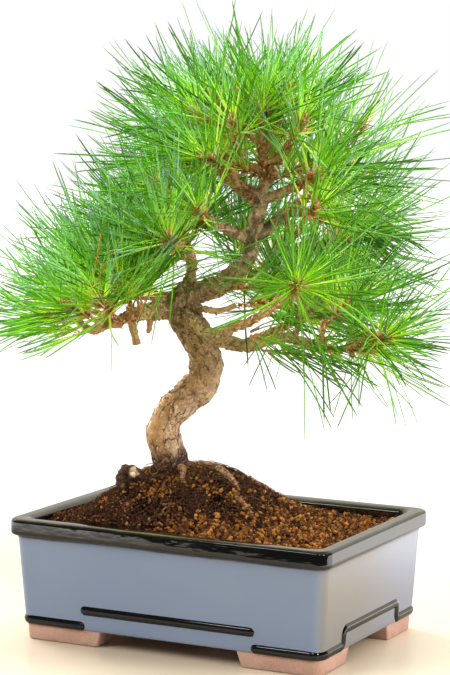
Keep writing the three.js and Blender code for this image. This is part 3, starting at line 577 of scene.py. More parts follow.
class Batch:
    """Gathers copies of patterns, with two marks for each point, and makes one mesh of them."""

    def __init__(self) -> None:
        """Starts with nothing in it."""
        self.points: list[Array] = []
        self.marks: list[Array] = []
        self.loops: list[Array] = []
        self.sizes: list[Array] = []
        self.slots: list[Array] = []
        self.total = 0

    def add(self, pattern: Pattern, points: Array, first: object, second: object, slot: int = 0) -> None:
        """Adds copies of a shape.

        Args:
            pattern: The shape.
            points: Copies by points by 3, in metres.
            first: The first mark, one a point of the shape, or a column with one a copy.
            second: The second mark, given in the same way.
            slot: The material slot of these copies.
        """
        copies, size = points.shape[:2]
        loop = np.concatenate([np.asarray(face) for face in pattern.faces])
        starts = np.arange(copies)[:, None] * size + self.total
        marks = np.stack([np.broadcast_to(mark, (copies, size)) for mark in (first, second)], axis=2)
        self.loops.append((loop[None, :] + starts).reshape(-1))
        self.sizes.append(np.tile([len(face) for face in pattern.faces], copies))
        self.slots.append(np.full(copies * len(pattern.faces), slot))
        self.points.append(points.reshape(-1, 3))
        self.marks.append(marks.reshape(-1, 2))
        self.total += copies * size

    def piece(self, name: str, degrees: float | None = None) -> Piece:
        """Makes the mesh.

        Args:
            name: The piece's name.
            degrees: The angle below which it is shaded smooth, or None for all over.

        Returns:
            The piece, with its marks as a UV map.
        """
        mesh = bpy.data.meshes.new(name)
        points, loops, sizes, slots, marks = (
            np.concatenate(rows) for rows in (self.points, self.loops, self.sizes, self.slots, self.marks)
        )
        mesh.vertices.add(len(points))
        mesh.vertices.foreach_set("co", points.reshape(-1))
        mesh.loops.add(len(loops))
        mesh.loops.foreach_set("vertex_index", loops)
        mesh.polygons.add(len(sizes))
        mesh.polygons.foreach_set("loop_start", np.concatenate([[0], np.cumsum(sizes)[:-1]]))
        mesh.polygons.foreach_set("loop_total", sizes)
        mesh.polygons.foreach_set("material_index", slots)
        mesh.uv_layers.new(name="marks").data.foreach_set("uv", marks[loops].reshape(-1))
        mesh.update(calc_edges=True)
        mesh.validate()
        piece = Bench.linked(name, mesh)
        Bench.smooth(piece, degrees)
        return piece


class Sheet:
    """Writes nodes into a node tree."""

    KINDS: ClassVar[dict[str, str]] = {"VALUE": "Float", "VECTOR": "Vector", "RGBA": "Color"}

    def __init__(self, tree: bpy.types.NodeTree) -> None:
        """Keeps the tree that nodes go into, and its shader where it has one."""
        self.tree = tree
        shaders = (node for node in tree.nodes if node.type in ("BSDF_PRINCIPLED", "BACKGROUND"))
        self.shader = next(shaders, None)

    @classmethod
    def of(cls, owner: bpy.types.Material | bpy.types.World) -> "Sheet":
        """Returns the sheet of a new material or world."""
        owner.use_nodes = True
        return cls(owner.node_tree)

    @classmethod
    def group(
        cls, name: str, numbers: Sequence[str], colours: Sequence[str] = ()
    ) -> tuple["Sheet", list[Socket]]:
        """Opens a node group that takes a vector, colours and numbers.

        Args:
            name: The group's name.
            numbers: The numbers' names.
            colours: The colours' names.

        Returns:
            Its sheet, and the sockets of what it is given: the vector, the colours and the numbers.
        """
        tree = bpy.data.node_groups.new(name, "ShaderNodeTree")
        kinds = {"Vector": "Vector", **dict.fromkeys(colours, "Color"), **dict.fromkeys(numbers, "Float")}
        for socket, kind in kinds.items():
            tree.interface.new_socket(socket, in_out="INPUT", socket_type=f"NodeSocket{kind}")
        sheet = cls(tree)
        return sheet, list(sheet.add("NodeGroupInput").outputs)[: len(kinds)]

    def close(self, **outputs: Socket) -> bpy.types.NodeTree:
        """Gives a group its outputs, by name, and returns the group."""
        for name, socket in outputs.items():
            kind = f"NodeSocket{self.KINDS[socket.type]}"
            self.tree.interface.new_socket(name, in_out="OUTPUT", socket_type=kind)
        self.add("NodeGroupOutput", outputs)
        return self.tree

    def put(self, socket: Socket, value: object) -> None:
        """Links a socket to an input, or sets the input's own value."""
        if isinstance(value, Socket):
            self.tree.links.new(value, socket)
        else:
            socket.default_value = (*value, 1.0) if socket.type == "RGBA" else value

    def add(self, kind: str, inputs: dict | None = None, **settings: object) -> bpy.types.Node:
        """Adds a node.

        Args:
            kind: The node's type.
            inputs: Values or sockets for its inputs, by name or place.
            settings: The node's own settings.

        Returns:
            The node.
        """
        node = self.tree.nodes.new(kind)
        for name, value in settings.items():
            setattr(node, name, value)
        for key, value in (inputs or {}).items():
            self.put(node.inputs[key], value)
        return node

    def feed(self, **inputs: object) -> None:
        """Fills the shader's inputs, whose names are written with underscores for spaces."""
        for name, value in inputs.items():
            self.put(self.shader.inputs[name.replace("_", " ")], value)

    def mix(self, share: object, first: object, second: object, blend: str = "MIX") -> Socket:
        """Returns two colours mixed, with share as how much of the second shows."""
        inputs = {0: share, 6: first, 7: second}
        return self.add("ShaderNodeMix", inputs, data_type="RGBA", blend_type=blend).outputs[2]

    def cover(self, under: object, over: object, share: object, amount: object = 1.0) -> Socket:
        """Returns a colour laid over another where share is 1, and by no more than an amount."""
        return self.mix(self.times(share, amount), under, over)

    def sum(self, kind: str, first: object, second: object = 0.0, third: object = 0.0) -> Socket:
        """Returns the socket of a Math node of one kind."""
        return self.add("ShaderNodeMath", {0: first, 1: second, 2: third}, operation=kind).outputs[0]

    def times(self, first: object, second: object, plus: object = 0.0) -> Socket:
        """Returns first times second, plus a third."""
        return self.sum("MULTIPLY_ADD", first, second, plus)

    def vector(self, kind: str, first: object, second: object = (0.0, 0.0, 0.0)) -> Socket:
        """Returns the socket of a Vector Math node of one kind."""
        node = self.add("ShaderNodeVectorMath", {0: first, 1: second}, operation=kind)
        return node.outputs["Value" if kind in ("DOT_PRODUCT", "LENGTH") else "Vector"]

    def span(
        self, value: object, low: object, high: object, start: float = 0.0, end: float = 1.0
    ) -> Socket:
        """Returns a smooth climb from start to end while the value goes from low to high."""
        inputs = {"Value": value, "From Min": low, "From Max": high, "To Min": start, "To Max": end}
        return self.add("ShaderNodeMapRange", inputs, interpolation_type="SMOOTHSTEP").outputs[0]

    def ramp(self, value: object, *stops: tuple[float, Colour]) -> Socket:
        """Runs a value through a row of colours.

        Args:
            value: The socket that picks the place.
            stops: Places from 0 to 1 and their colours.

        Returns:
            The colour's socket.
        """
        node = self.add("ShaderNodeValToRGB", {0: value})
        band = node.color_ramp.elements
        for place, _ in stops[1:-1]:
            band.new(place)
        for element, (place, colour) in zip(band, stops):
            element.position = place
            element.color = (*colour, 1.0)
        return node.outputs[0]

    def noise(
        self, place: Socket, scale: object, detail: object, output: int = 0, rough: float = 0.5
    ) -> Socket:
        """Returns a noise: its number, or with output 1 its colour."""
        inputs = {"Vector": place, "Scale": scale, "Detail": detail, "Roughness": rough}
        return self.add("ShaderNodeTexNoise", inputs).outputs[output]

    def lines(self, place: Socket, scale: object, width: object) -> Socket:
        """Returns 1 on the lines between irregular cells and 0 on the cells."""
        inputs = {"Vector": place, "Scale": scale}
        cells = self.add("ShaderNodeTexVoronoi", inputs, feature="DISTANCE_TO_EDGE")
        return self.span(cells.outputs[0], 0.0, width, 1.0, 0.0)

    def warped(self, place: Socket, scale: float, detail: float, reach: float) -> Socket:
        """Returns a place that a noise has shifted by up to half a reach."""
        shift = self.vector("SUBTRACT", self.noise(place, scale, detail, 1), (0.5, 0.5, 0.5))
        return self.vector("ADD", place, self.vector("MULTIPLY", shift, (reach, reach, reach)))

    def place(self) -> Socket:
        """Returns the socket of the piece's own coordinates, in metres."""
        return self.add("ShaderNodeTexCoord").outputs["Object"]

    def split(self, vector: Socket) -> list[Socket]:
        """Returns the sockets of a vector's three numbers."""
        return list(self.add("ShaderNodeSeparateXYZ", {0: vector}).outputs)

    def marks(self) -> list[Socket]:
        """Returns the sockets of the two marks that a batch keeps as its UV map."""
        return self.split(self.add("ShaderNodeUVMap", uv_map="marks").outputs[0])[:2]

    def attribute(self, name: str, output: str = "Fac") -> Socket:
        """Returns the socket of a number or a vector that the mesh keeps at its points."""
        return self.add("ShaderNodeAttribute", attribute_name=name).outputs[output]

    def effect(self, name: str, **inputs: object) -> Sequence[Socket]:
        """Places a shared effect, with values for its inputs by name, and returns its outputs."""
        return self.add("ShaderNodeGroup", inputs, node_tree=Effects.get(name)).outputs

    def mottle(self, place: Socket, scale: float, detail: float, spread: float) -> Socket:
        """Returns soft patches from 0 to 1."""
        return self.effect("mottle", Vector=place, Scale=scale, Detail=detail, Spread=spread)[0]

    def relief(self, place: Socket, scale: float, strength: object, depth: float) -> Socket:
        """Returns the normal of a fine grain."""
        return self.effect("relief", Vector=place, Scale=scale, Strength=strength, Depth=depth)[0]


class Effects:
    """The node groups that finishes share, each built when it is first asked for."""

    made: ClassVar[dict[str, bpy.types.NodeTree]] = {}

    @classmethod
    def get(cls, name: str) -> bpy.types.NodeTree:
        """Returns an effect by its name."""
        if name not in cls.made:
            cls.made[name] = getattr(cls, name)()
        return cls.made[name]

    @staticmethod
    def mottle() -> bpy.types.NodeTree:
        """Soft patches: a noise that is stretched between two levels."""
        sheet, (place, scale, detail, spread) = Sheet.group("mottle", ("Scale", "Detail", "Spread"))
        low, high = sheet.sum("SUBTRACT", 0.5, spread), sheet.sum("ADD", 0.5, spread)
        return sheet.close(Mask=sheet.span(sheet.noise(place, scale, detail, rough=0.6), low, high))

    @staticmethod
    def crackle() -> bpy.types.NodeTree:
        """Thin lines between irregular cells, 1 in the line and 0 on the cell."""
        sheet, (place, scale, width) = Sheet.group("crackle", ("Scale", "Width"))
        return sheet.close(Mask=sheet.lines(sheet.warped(place, 90.0, 2.0, 0.004), scale, width))

    @staticmethod
    def plates() -> bpy.types.NodeTree:
        """Bark plates: thin cracks between long cells, finer cracks in them, and a tint for each cell."""
        sheet, (place, width) = Sheet.group("plates", ("Width",))
        bent = sheet.warped(place, 2.3, 5.0, 0.75)
        wide = sheet.times(width, sheet.span(sheet.noise(place, 0.55, 2.0), 0.42, 0.64, 0.12, 1.5))
        cells = sheet.add("ShaderNodeTexVoronoi", {"Vector": bent, "Scale": 1.0})
        tint = sheet.add("ShaderNodeSeparateColor", {0: cells.outputs["Color"]}).outputs[0]
        return sheet.close(Crack=sheet.lines(bent, 1.0, wide), Fine=sheet.lines(bent, 2.7, wide), Tint=tint)

    @staticmethod
    def relief() -> bpy.types.NodeTree:
        """A fine noise as a normal, for grain that is too small to model."""
        sheet, (place, scale, strength, depth) = Sheet.group("relief", ("Scale", "Strength", "Depth"))
        inputs = {"Strength": strength, "Distance": depth, "Height": sheet.noise(place, scale, 4.0)}
        return sheet.close(Normal=sheet.add("ShaderNodeBump", inputs).outputs[0])

    @staticmethod
    def dust() -> bpy.types.NodeTree:
        """Soil dust that gathers in patches below a height."""
        sheet, sockets = Sheet.group("dust", ("Top", "Amount"), ("Colour", "Dust"))
        place, colour, dust, top, amount = sockets
        inputs = {"Value": sheet.split(place)[2], "From Min": top, "From Max": 0.0}
        near = sheet.add("ShaderNodeMapRange", inputs).outputs[0]
        spots = sheet.span(sheet.noise(place, 120.0, 5.0), 0.45, 0.75)
        return sheet.close(Colour=sheet.cover(colour, dust, sheet.times(near, spots), amount))


@dataclass(frozen=True)
class Finish:
    """A procedural material. Each kind fills in how it is painted."""

    name: str = "finish"

    def material(self) -> bpy.types.Material:
        """Makes the material and paints it."""
        made = bpy.data.materials.new(self.name)
        self.paint(Sheet.of(made))
        return made

    def paint(self, sheet: Sheet) -> None:
        """Adds the nodes that feed the shader."""
        raise NotImplementedError


@dataclass(frozen=True)
class GlossGlaze(Finish):
    """Thick glossy black glaze: a painted blue-grey reflection of the pale table on the walls, paler on the
    right wall, a nearly black rim and mouldings, and olive where it thins.
    """

    name: str = "gloss_glaze"
    # The wall and side colours are painted reflections of the pale table in the black glaze.
    wall: Colour = (0.152, 0.203, 0.302)
    wall_reflection_low: Colour = (0.172, 0.220, 0.312)
    side: Colour = (0.185, 0.198, 0.245)
    side_reflection_front: Colour = (0.180, 0.160, 0.128)
    dark: Colour = (0.0035, 0.0038, 0.0042)
    thin: Colour = (0.075, 0.064, 0.030)
    rim_foot: float = 0.0722
    rough: float = 0.035

    def paint(self, sheet: Sheet) -> None:
        """Adds the nodes that feed the shader."""
        place = sheet.place()
        _, back, height = sheet.split(place)
        patches = sheet.mottle(place, 9.0, 3.0, 0.22)
        # Painted reflection: the walls' blue-grey stands in for the pale table mirrored in the black glaze, and
        # the right wall gets a paler one, beige towards its front.
        wall = sheet.mix(patches, self.wall, self.wall_reflection_low)
        pale = sheet.mix(sheet.span(back, -0.07, 0.03), self.side_reflection_front, self.side)
        wall = sheet.cover(wall, pale, sheet.attribute("side"), 0.8)
        wander = sheet.times(patches, 0.0016, height)
        rim = sheet.span(wander, self.rim_foot - 0.0006, self.rim_foot + 0.0012)
        black = sheet.sum("MAXIMUM", rim, sheet.attribute("pooled"))
        colour = sheet.mix(black, wall, self.dark)
        drawn = sheet.vector("MULTIPLY", place, (1.0, 1.0, 3.5))
        streaks = sheet.times(sheet.mottle(drawn, 38.0, 5.0, 0.14), 0.85, 0.15)
        sheet.feed(
            Base_Color=sheet.cover(colour, self.thin, sheet.attribute("thin"), streaks),
            Roughness=sheet.times(sheet.mottle(place, 24.0, 4.0, 0.3), 0.05, self.rough),
            IOR=1.95,
            Normal=sheet.relief(drawn, 17.0, sheet.times(black, 0.3, 0.1), 0.0014),
        )


@dataclass(frozen=True)
class BareClay(Finish):
    """Unglazed fired clay on the feet and under the pot."""

    name: str = "bare_clay"
    clay: Colour = (0.40, 0.235, 0.175)
    pale: Colour = (0.48, 0.31, 0.245)
    soot: Colour = (0.24, 0.135, 0.085)
    dust: Colour = (0.30, 0.18, 0.11)

    def paint(self, sheet: Sheet) -> None:
        """Adds the nodes that feed the shader."""
        place = sheet.place()
        colour = sheet.mix(sheet.mottle(place, 40.0, 4.0, 0.25), self.clay, self.pale)
        colour = sheet.cover(colour, self.soot, sheet.mottle(place, 700.0, 2.0, 0.12), 0.22)
        dusty = sheet.effect("dust", Vector=place, Colour=colour, Dust=self.dust, Top=0.006, Amount=0.6)
        sheet.feed(Base_Color=dusty[0], Roughness=0.88, Normal=sheet.relief(place, 900.0, 0.5, 0.0005))


@dataclass(frozen=True)
class Bark(Finish):
    """Plated bark: tan and pinkish on the trunk, olive higher up, orange on twigs, dark at the soil, with
    painted light on the trunk's sides, painted shade on its middle and in the creases, and painted light and
    shadow in the crown.
    """

    name: str = "bark"
    tan: Colour = (0.66, 0.375, 0.135)
    pink: Colour = (0.98, 0.62, 0.37)
    umber: Colour = (0.21, 0.100, 0.034)
    olive: Colour = (0.42, 0.37, 0.09)
    # ochre is painted shade on the middle of the trunk; shaded is painted shadow in patches in the crown.
    ochre: Colour = (0.46, 0.24, 0.075)
    shaded: Colour = (0.13, 0.055, 0.020)
    crack: Colour = (0.085, 0.042, 0.018)
    young: Colour = (0.76, 0.47, 0.21)
    young_dark: Colour = (0.42, 0.21, 0.09)
    root: Colour = (0.72, 0.39, 0.17)
    root_dark: Colour = (0.080, 0.040, 0.022)
    moss: Colour = (0.155, 0.145, 0.042)
    damp: Colour = (0.050, 0.025, 0.020)
    cut: Colour = (0.78, 0.60, 0.38)
    # The next colours are painted light: on the trunk's sides, on the bark in the crown, and, partly, on the
    # thin lower branches.
    lit: Colour = (1.0, 0.75, 0.50)
    crown: Colour = (1.0, 0.70, 0.43)
    pale_limb: Colour = (0.92, 0.74, 0.26)

    def paint(self, sheet: Sheet) -> None:
        """Adds the nodes that feed the shader."""
        place = sheet.place()
        height = sheet.split(place)[2]
        patches = sheet.mottle(place, 75.0, 5.0, 0.16)
        flecks = sheet.mottle(place, 520.0, 4.0, 0.14)
        broad = sheet.mottle(place, 30.0, 3.0, 0.12)
        crack, fine, tint = sheet.effect("plates", Vector=sheet.attribute("plate", "Vector"), Width=0.075)
        top = sheet.span(height, 0.245, 0.27)
        age = sheet.attribute("age")
        old = self.old_bark(sheet, height, top, (patches, flecks, broad, tint))
        young = sheet.mix(patches, self.young, self.young_dark)
        young = sheet.cover(young, self.tan, flecks, 0.4)
        root = sheet.mix(flecks, self.root, self.root_dark)
        root = sheet.cover(root, self.root_dark, patches, 0.6)
        colour = sheet.mix(sheet.attribute("root"), sheet.mix(age, young, old), root)
        colour = sheet.cover(colour, self.umber, fine, sheet.times(age, 0.2, 0.05))
        deep = sheet.times(crack, sheet.times(age, 0.75, 0.05))
        deep = sheet.times(deep, sheet.span(broad, 0.8, 0.0, 0.72, 1.15))
        colour = sheet.cover(colour, self.crack, deep, sheet.span(top, 0.0, 1.0, 1.0, 0.6))
        colour = sheet.cover(colour, self.moss, sheet.attribute("moss"), sheet.span(flecks, 0.1, 0.8))
        colour = sheet.cover(colour, self.cut, sheet.attribute("cut"), sheet.span(patches, 1.0, 0.55))
        # Painted shade in the creases where limbs meet.
        colour = sheet.cover(colour, self.crack, sheet.attribute("hollow"), 0.85)
        colour = sheet.cover(colour, self.damp, sheet.attribute("damp"), sheet.span(flecks, 1.5, 0.5))
        rise = sheet.times(tint, 0.45, sheet.times(crack, -0.9, sheet.times(fine, -0.35)))
        rise = sheet.times(patches, 0.25, sheet.times(flecks, 0.3, sheet.times(rise, age)))
        bump = sheet.add("ShaderNodeBump", {"Strength": 0.9, "Distance": 0.0011, "Height": rise})
        sheet.feed(Base_Color=colour, Roughness=0.84, Specular_IOR_Level=0.3, Normal=bump.outputs[0])

    def old_bark(self, sheet: Sheet, height: Socket, top: Socket, masks: tuple[Socket, ...]) -> Socket:
        """Colours the bark of the trunk and the thick limbs.

        Args:
            sheet: The material's sheet.
            height: The socket of the height above the ground.
            top: 1 in the crown and 0 below it.
            masks: Patches, flecks, broad patches and each plate's tint.

        Returns:
            The colour's socket.
        """
        patches, flecks, broad, tint = masks
        old = sheet.mix(tint, self.tan, self.pink)
        old = sheet.cover(old, self.tan, broad, 0.75)
        old = sheet.cover(old, self.umber, patches, 0.45)
        # Painted light on the trunk's right and left sides.
        old = sheet.cover(old, self.lit, sheet.attribute("lit"), 0.6)
        # Painted shade: the middle of the trunk, which faces the front, turns ochre.
        middle = sheet.times(sheet.attribute("front"), 0.6)
        old = sheet.cover(old, self.ochre, middle, sheet.span(broad, -0.4, 0.8))
        olive = sheet.times(sheet.span(height, 0.165, 0.215), sheet.span(height, 0.3, 0.25))
        old = sheet.cover(old, self.olive, olive, 0.6)
        # Painted light and shadow in the crown: the bark there is made pale, then dark in patches.
        old = sheet.cover(old, self.crown, top, 0.95)
        dark = sheet.times(top, sheet.span(patches, 0.45, 0.85))
        old = sheet.cover(old, self.shaded, dark, 0.8)
        old = sheet.cover(old, self.umber, sheet.span(height, 0.15, 0.11), 0.16)
        # Paler olive-tan on the thin lower branches, partly their own tone and partly painted light that sets
        # them off from the trunk.
        old = sheet.cover(old, self.pale_limb, sheet.attribute("limb"), 0.8)
        return sheet.cover(old, self.umber, flecks, sheet.span(top, 0.0, 1.0, 0.38, 0.18))


@dataclass(frozen=True)
class BarkChip(Finish):
    """Loose flakes of bark, tan to umber by each one's mark and olive where the mark says so."""

    name: str = "bark_chip"
    pale: Colour = (0.66, 0.45, 0.28)
    tan: Colour = (0.46, 0.28, 0.135)
    umber: Colour = (0.10, 0.055, 0.022)
    olive: Colour = (0.15, 0.125, 0.030)

    def paint(self, sheet: Sheet) -> None:
        """Adds the nodes that feed the shader."""
        green, shade = sheet.marks()
        place = sheet.place()
        colour = sheet.ramp(shade, (0.0, self.umber), (0.5, self.tan), (1.0, self.pale))
        colour = sheet.cover(colour, self.olive, green, 0.8)
        colour = sheet.cover(colour, self.umber, sheet.mottle(place, 700.0, 4.0, 0.15), 0.4)
        normal = sheet.relief(place, 1300.0, 0.6, 0.0005)
        sheet.feed(Base_Color=colour, Roughness=0.88, Specular_IOR_Level=0.3, Normal=normal)


@dataclass(frozen=True)
class Needle(Finish):
    """Needles: yellow-green at the sheath, mid green along, darker towards the tip, a few of them dead, with
    painted light and sheen in each one's brightness and painted haze on those further back.
    """

    name: str = "needle"
    foot: Colour = (0.66, 0.76, 0.16)
    low: Colour = (0.42, 0.80, 0.010)
    bright: Colour = (0.24, 0.62, 0.008)
    middle: Colour = (0.110, 0.40, 0.010)
    high: Colour = (0.050, 0.20, 0.012)
    tip: Colour = (0.13, 0.16, 0.04)
    dead: Colour = (0.62, 0.27, 0.06)
    distant: Colour = (0.26, 0.47, 0.23)
    # Multipliers by each needle's shade mark, from dark to bright; the brightest end is paled towards white as
    # a painted sheen.
    tones: tuple[tuple[float, Colour], ...] = (
        (0.0, (0.16, 0.22, 1.0)),
        (0.4, (0.78, 0.82, 1.0)),
        (0.7, (1.7, 1.4, 3.0)),
        (1.0, (3.7, 1.95, 22.0)),
    )

    def paint(self, sheet: Sheet) -> None:
        """Adds the nodes that feed the shader."""
        along, shade = sheet.marks()
        place = sheet.place()
        lower = ((0.0, self.foot), (0.13, self.low), (0.3, self.bright))
        colour = sheet.ramp(along, *lower, (0.56, self.middle), (0.9, self.high), (1.0, self.tip))
        colour = sheet.mix(1.0, colour, sheet.ramp(shade, *self.tones), "MULTIPLY")
        colour = sheet.cover(colour, self.bright, sheet.mottle(place, 160.0, 2.0, 0.25), 0.2)
        # Painted haze: needles further back are paled towards blue-green.
        behind = sheet.vector("DOT_PRODUCT", place, turned([(0.3, 1, 0)])[0])
        colour = sheet.cover(colour, self.distant, sheet.span(behind, 0.0, 0.11), 0.55)
        colour = sheet.mix(sheet.span(shade, 0.985, 0.99), colour, self.dead)
        normal = sheet.relief(place, 1500.0, 0.15, 0.0002)
        sheet.feed(Base_Color=colour, Roughness=0.32, Specular_IOR_Level=0.35, Normal=normal)


@dataclass(frozen=True)
class ShootScale(Finish):
    """The papery scales on shoots and buds, and the sheaths that hold each pair of needles."""

    name: str = "shoot_scale"
    foot: Colour = (0.40, 0.145, 0.035)
    middle: Colour = (0.80, 0.36, 0.09)
    tip: Colour = (1.0, 0.78, 0.56)
    tones: tuple[tuple[float, Colour], ...] = (
        (0.0, (0.6, 0.55, 0.5)),
        (0.5, (1.0, 1.0, 1.0)),
        (1.0, (1.35, 1.3, 1.3)),
    )

    def paint(self, sheet: Sheet) -> None:
        """Adds the nodes that feed the shader."""
        along, shade = sheet.marks()
        place = sheet.place()
        colour = sheet.ramp(along, (0.0, self.foot), (0.55, self.middle), (1.0, self.tip))
        colour = sheet.mix(1.0, colour, sheet.ramp(shade, *self.tones), "MULTIPLY")
        colour = sheet.cover(colour, self.foot, sheet.mottle(place, 800.0, 3.0, 0.2), 0.3)
        sheet.feed(Base_Color=colour, Roughness=0.7, Normal=sheet.relief(place, 1400.0, 0.4, 0.0004))


@dataclass(frozen=True)
class SoilGrain(Finish):
    """Clay granules and crumbs, from nearly black to orange-brown by each grain's own mark."""

    name: str = "soil_grain"
    black: Colour = (0.006, 0.003, 0.002)
    brown: Colour = (0.068, 0.030, 0.017)
    orange: Colour = (0.175, 0.060, 0.009)
    ochre: Colour = (0.490, 0.215, 0.043)

    def paint(self, sheet: Sheet) -> None:
        """Adds the nodes that feed the shader."""
        shade = sheet.marks()[1]
        place = sheet.place()
        stops = ((0.0, self.black), (0.4, self.brown), (0.7, self.orange), (1.0, self.ochre))
        colour = sheet.ramp(shade, *stops)
        colour = sheet.cover(colour, self.brown, sheet.mottle(place, 900.0, 4.0, 0.2), 0.5)
        lines = sheet.effect("crackle", Vector=place, Scale=900.0, Width=0.06)[0]
        colour = sheet.cover(colour, self.black, lines, 0.4)
        normal = sheet.relief(place, 1600.0, 0.7, 0.0006)
        sheet.feed(Base_Color=colour, Roughness=0.9, Specular_IOR_Level=0.05, Normal=normal)


@dataclass(frozen=True)
class SoilBed(Finish):
    """The packed soil between and under the loose grains."""

    name: str = "soil_bed"
    dark: Colour = (0.004, 0.002, 0.0015)
    warm: Colour = (0.045, 0.018, 0.007)

    def paint(self, sheet: Sheet) -> None:
        """Adds the nodes that feed the shader."""
        place = sheet.place()
        patches, flecks = sheet.mottle(place, 60.0, 4.0, 0.2), sheet.mottle(place, 650.0, 5.0, 0.18)
        colour = sheet.cover(self.dark, self.warm, patches, flecks)
        normal = sheet.relief(place, 700.0, 1.0, 0.0018)
        sheet.feed(Base_Color=colour, Roughness=0.96, Specular_IOR_Level=0.03, Normal=normal)


@dataclass(frozen=True)
class RootHair(Finish):
    """Fine roots and fibres, dark or pale by each one's mark."""

    name: str = "root_hair"
    dark: Colour = (0.045, 0.020, 0.011)
    pale: Colour = (0.50, 0.31, 0.16)

    def paint(self, sheet: Sheet) -> None:
        """Adds the nodes that feed the shader."""
        place = sheet.place()
        colour = sheet.mix(sheet.marks()[1], self.dark, self.pale)
        colour = sheet.cover(colour, self.dark, sheet.mottle(place, 500.0, 3.0, 0.2), 0.4)
        normal = sheet.relief(place, 1500.0, 0.4, 0.0003)
        sheet.feed(Base_Color=colour, Roughness=0.85, Specular_IOR_Level=0.1, Normal=normal)


@dataclass(frozen=True)
class ScreenPlastic(Finish):
    """Black plastic mesh, dusty from the soil above."""

    name: str = "screen_plastic"
    plastic: Colour = (0.012, 0.014, 0.013)
    dusty: Colour = (0.10, 0.06, 0.035)

    def paint(self, sheet: Sheet) -> None:
        """Adds the nodes that feed the shader."""
        place = sheet.place()
        patches = sheet.mottle(place, 180.0, 4.0, 0.15)
        colour = sheet.cover(self.plastic, self.dusty, patches, 0.7)
        rough = sheet.times(patches, 0.35, 0.45)
        sheet.feed(Base_Color=colour, Roughness=rough, Normal=sheet.relief(place, 900.0, 0.2, 0.0003))


@dataclass
class PotSizes:
    """The pot's measures in millimetres, as in the solid model."""

    length: float = 240.0
    depth: float = 170.0
    height: float = 84.0
    corner: float = 9.0
    rim_drop: float = 11.0
    rim_overhang: float = 3.6
    base_inset: float = 7.5
    foot: float = 11.0
    floor: float = 19.0
    arm_x: float = 61.0
    arm_y: float = 46.0
    foot_width: float = 17.0
    foot_top: float = 12.5
    bead_rise: float = 11.0
    bead_step_x: float = 47.0
    bead_step_y: float = 34.0
    bead_radius: float = 4.2
    bead_sunk: float = 2.7
    drain_radius: float = 10.0
    drain_x: float = 58.0

    def wall(self, height: float) -> float:
        """Returns how far the outer wall stands in from the rim's edge at a height."""
        share = (height - self.foot) / (self.height - self.rim_drop - self.foot)
        return mixed(self.base_inset, self.rim_overhang, share)


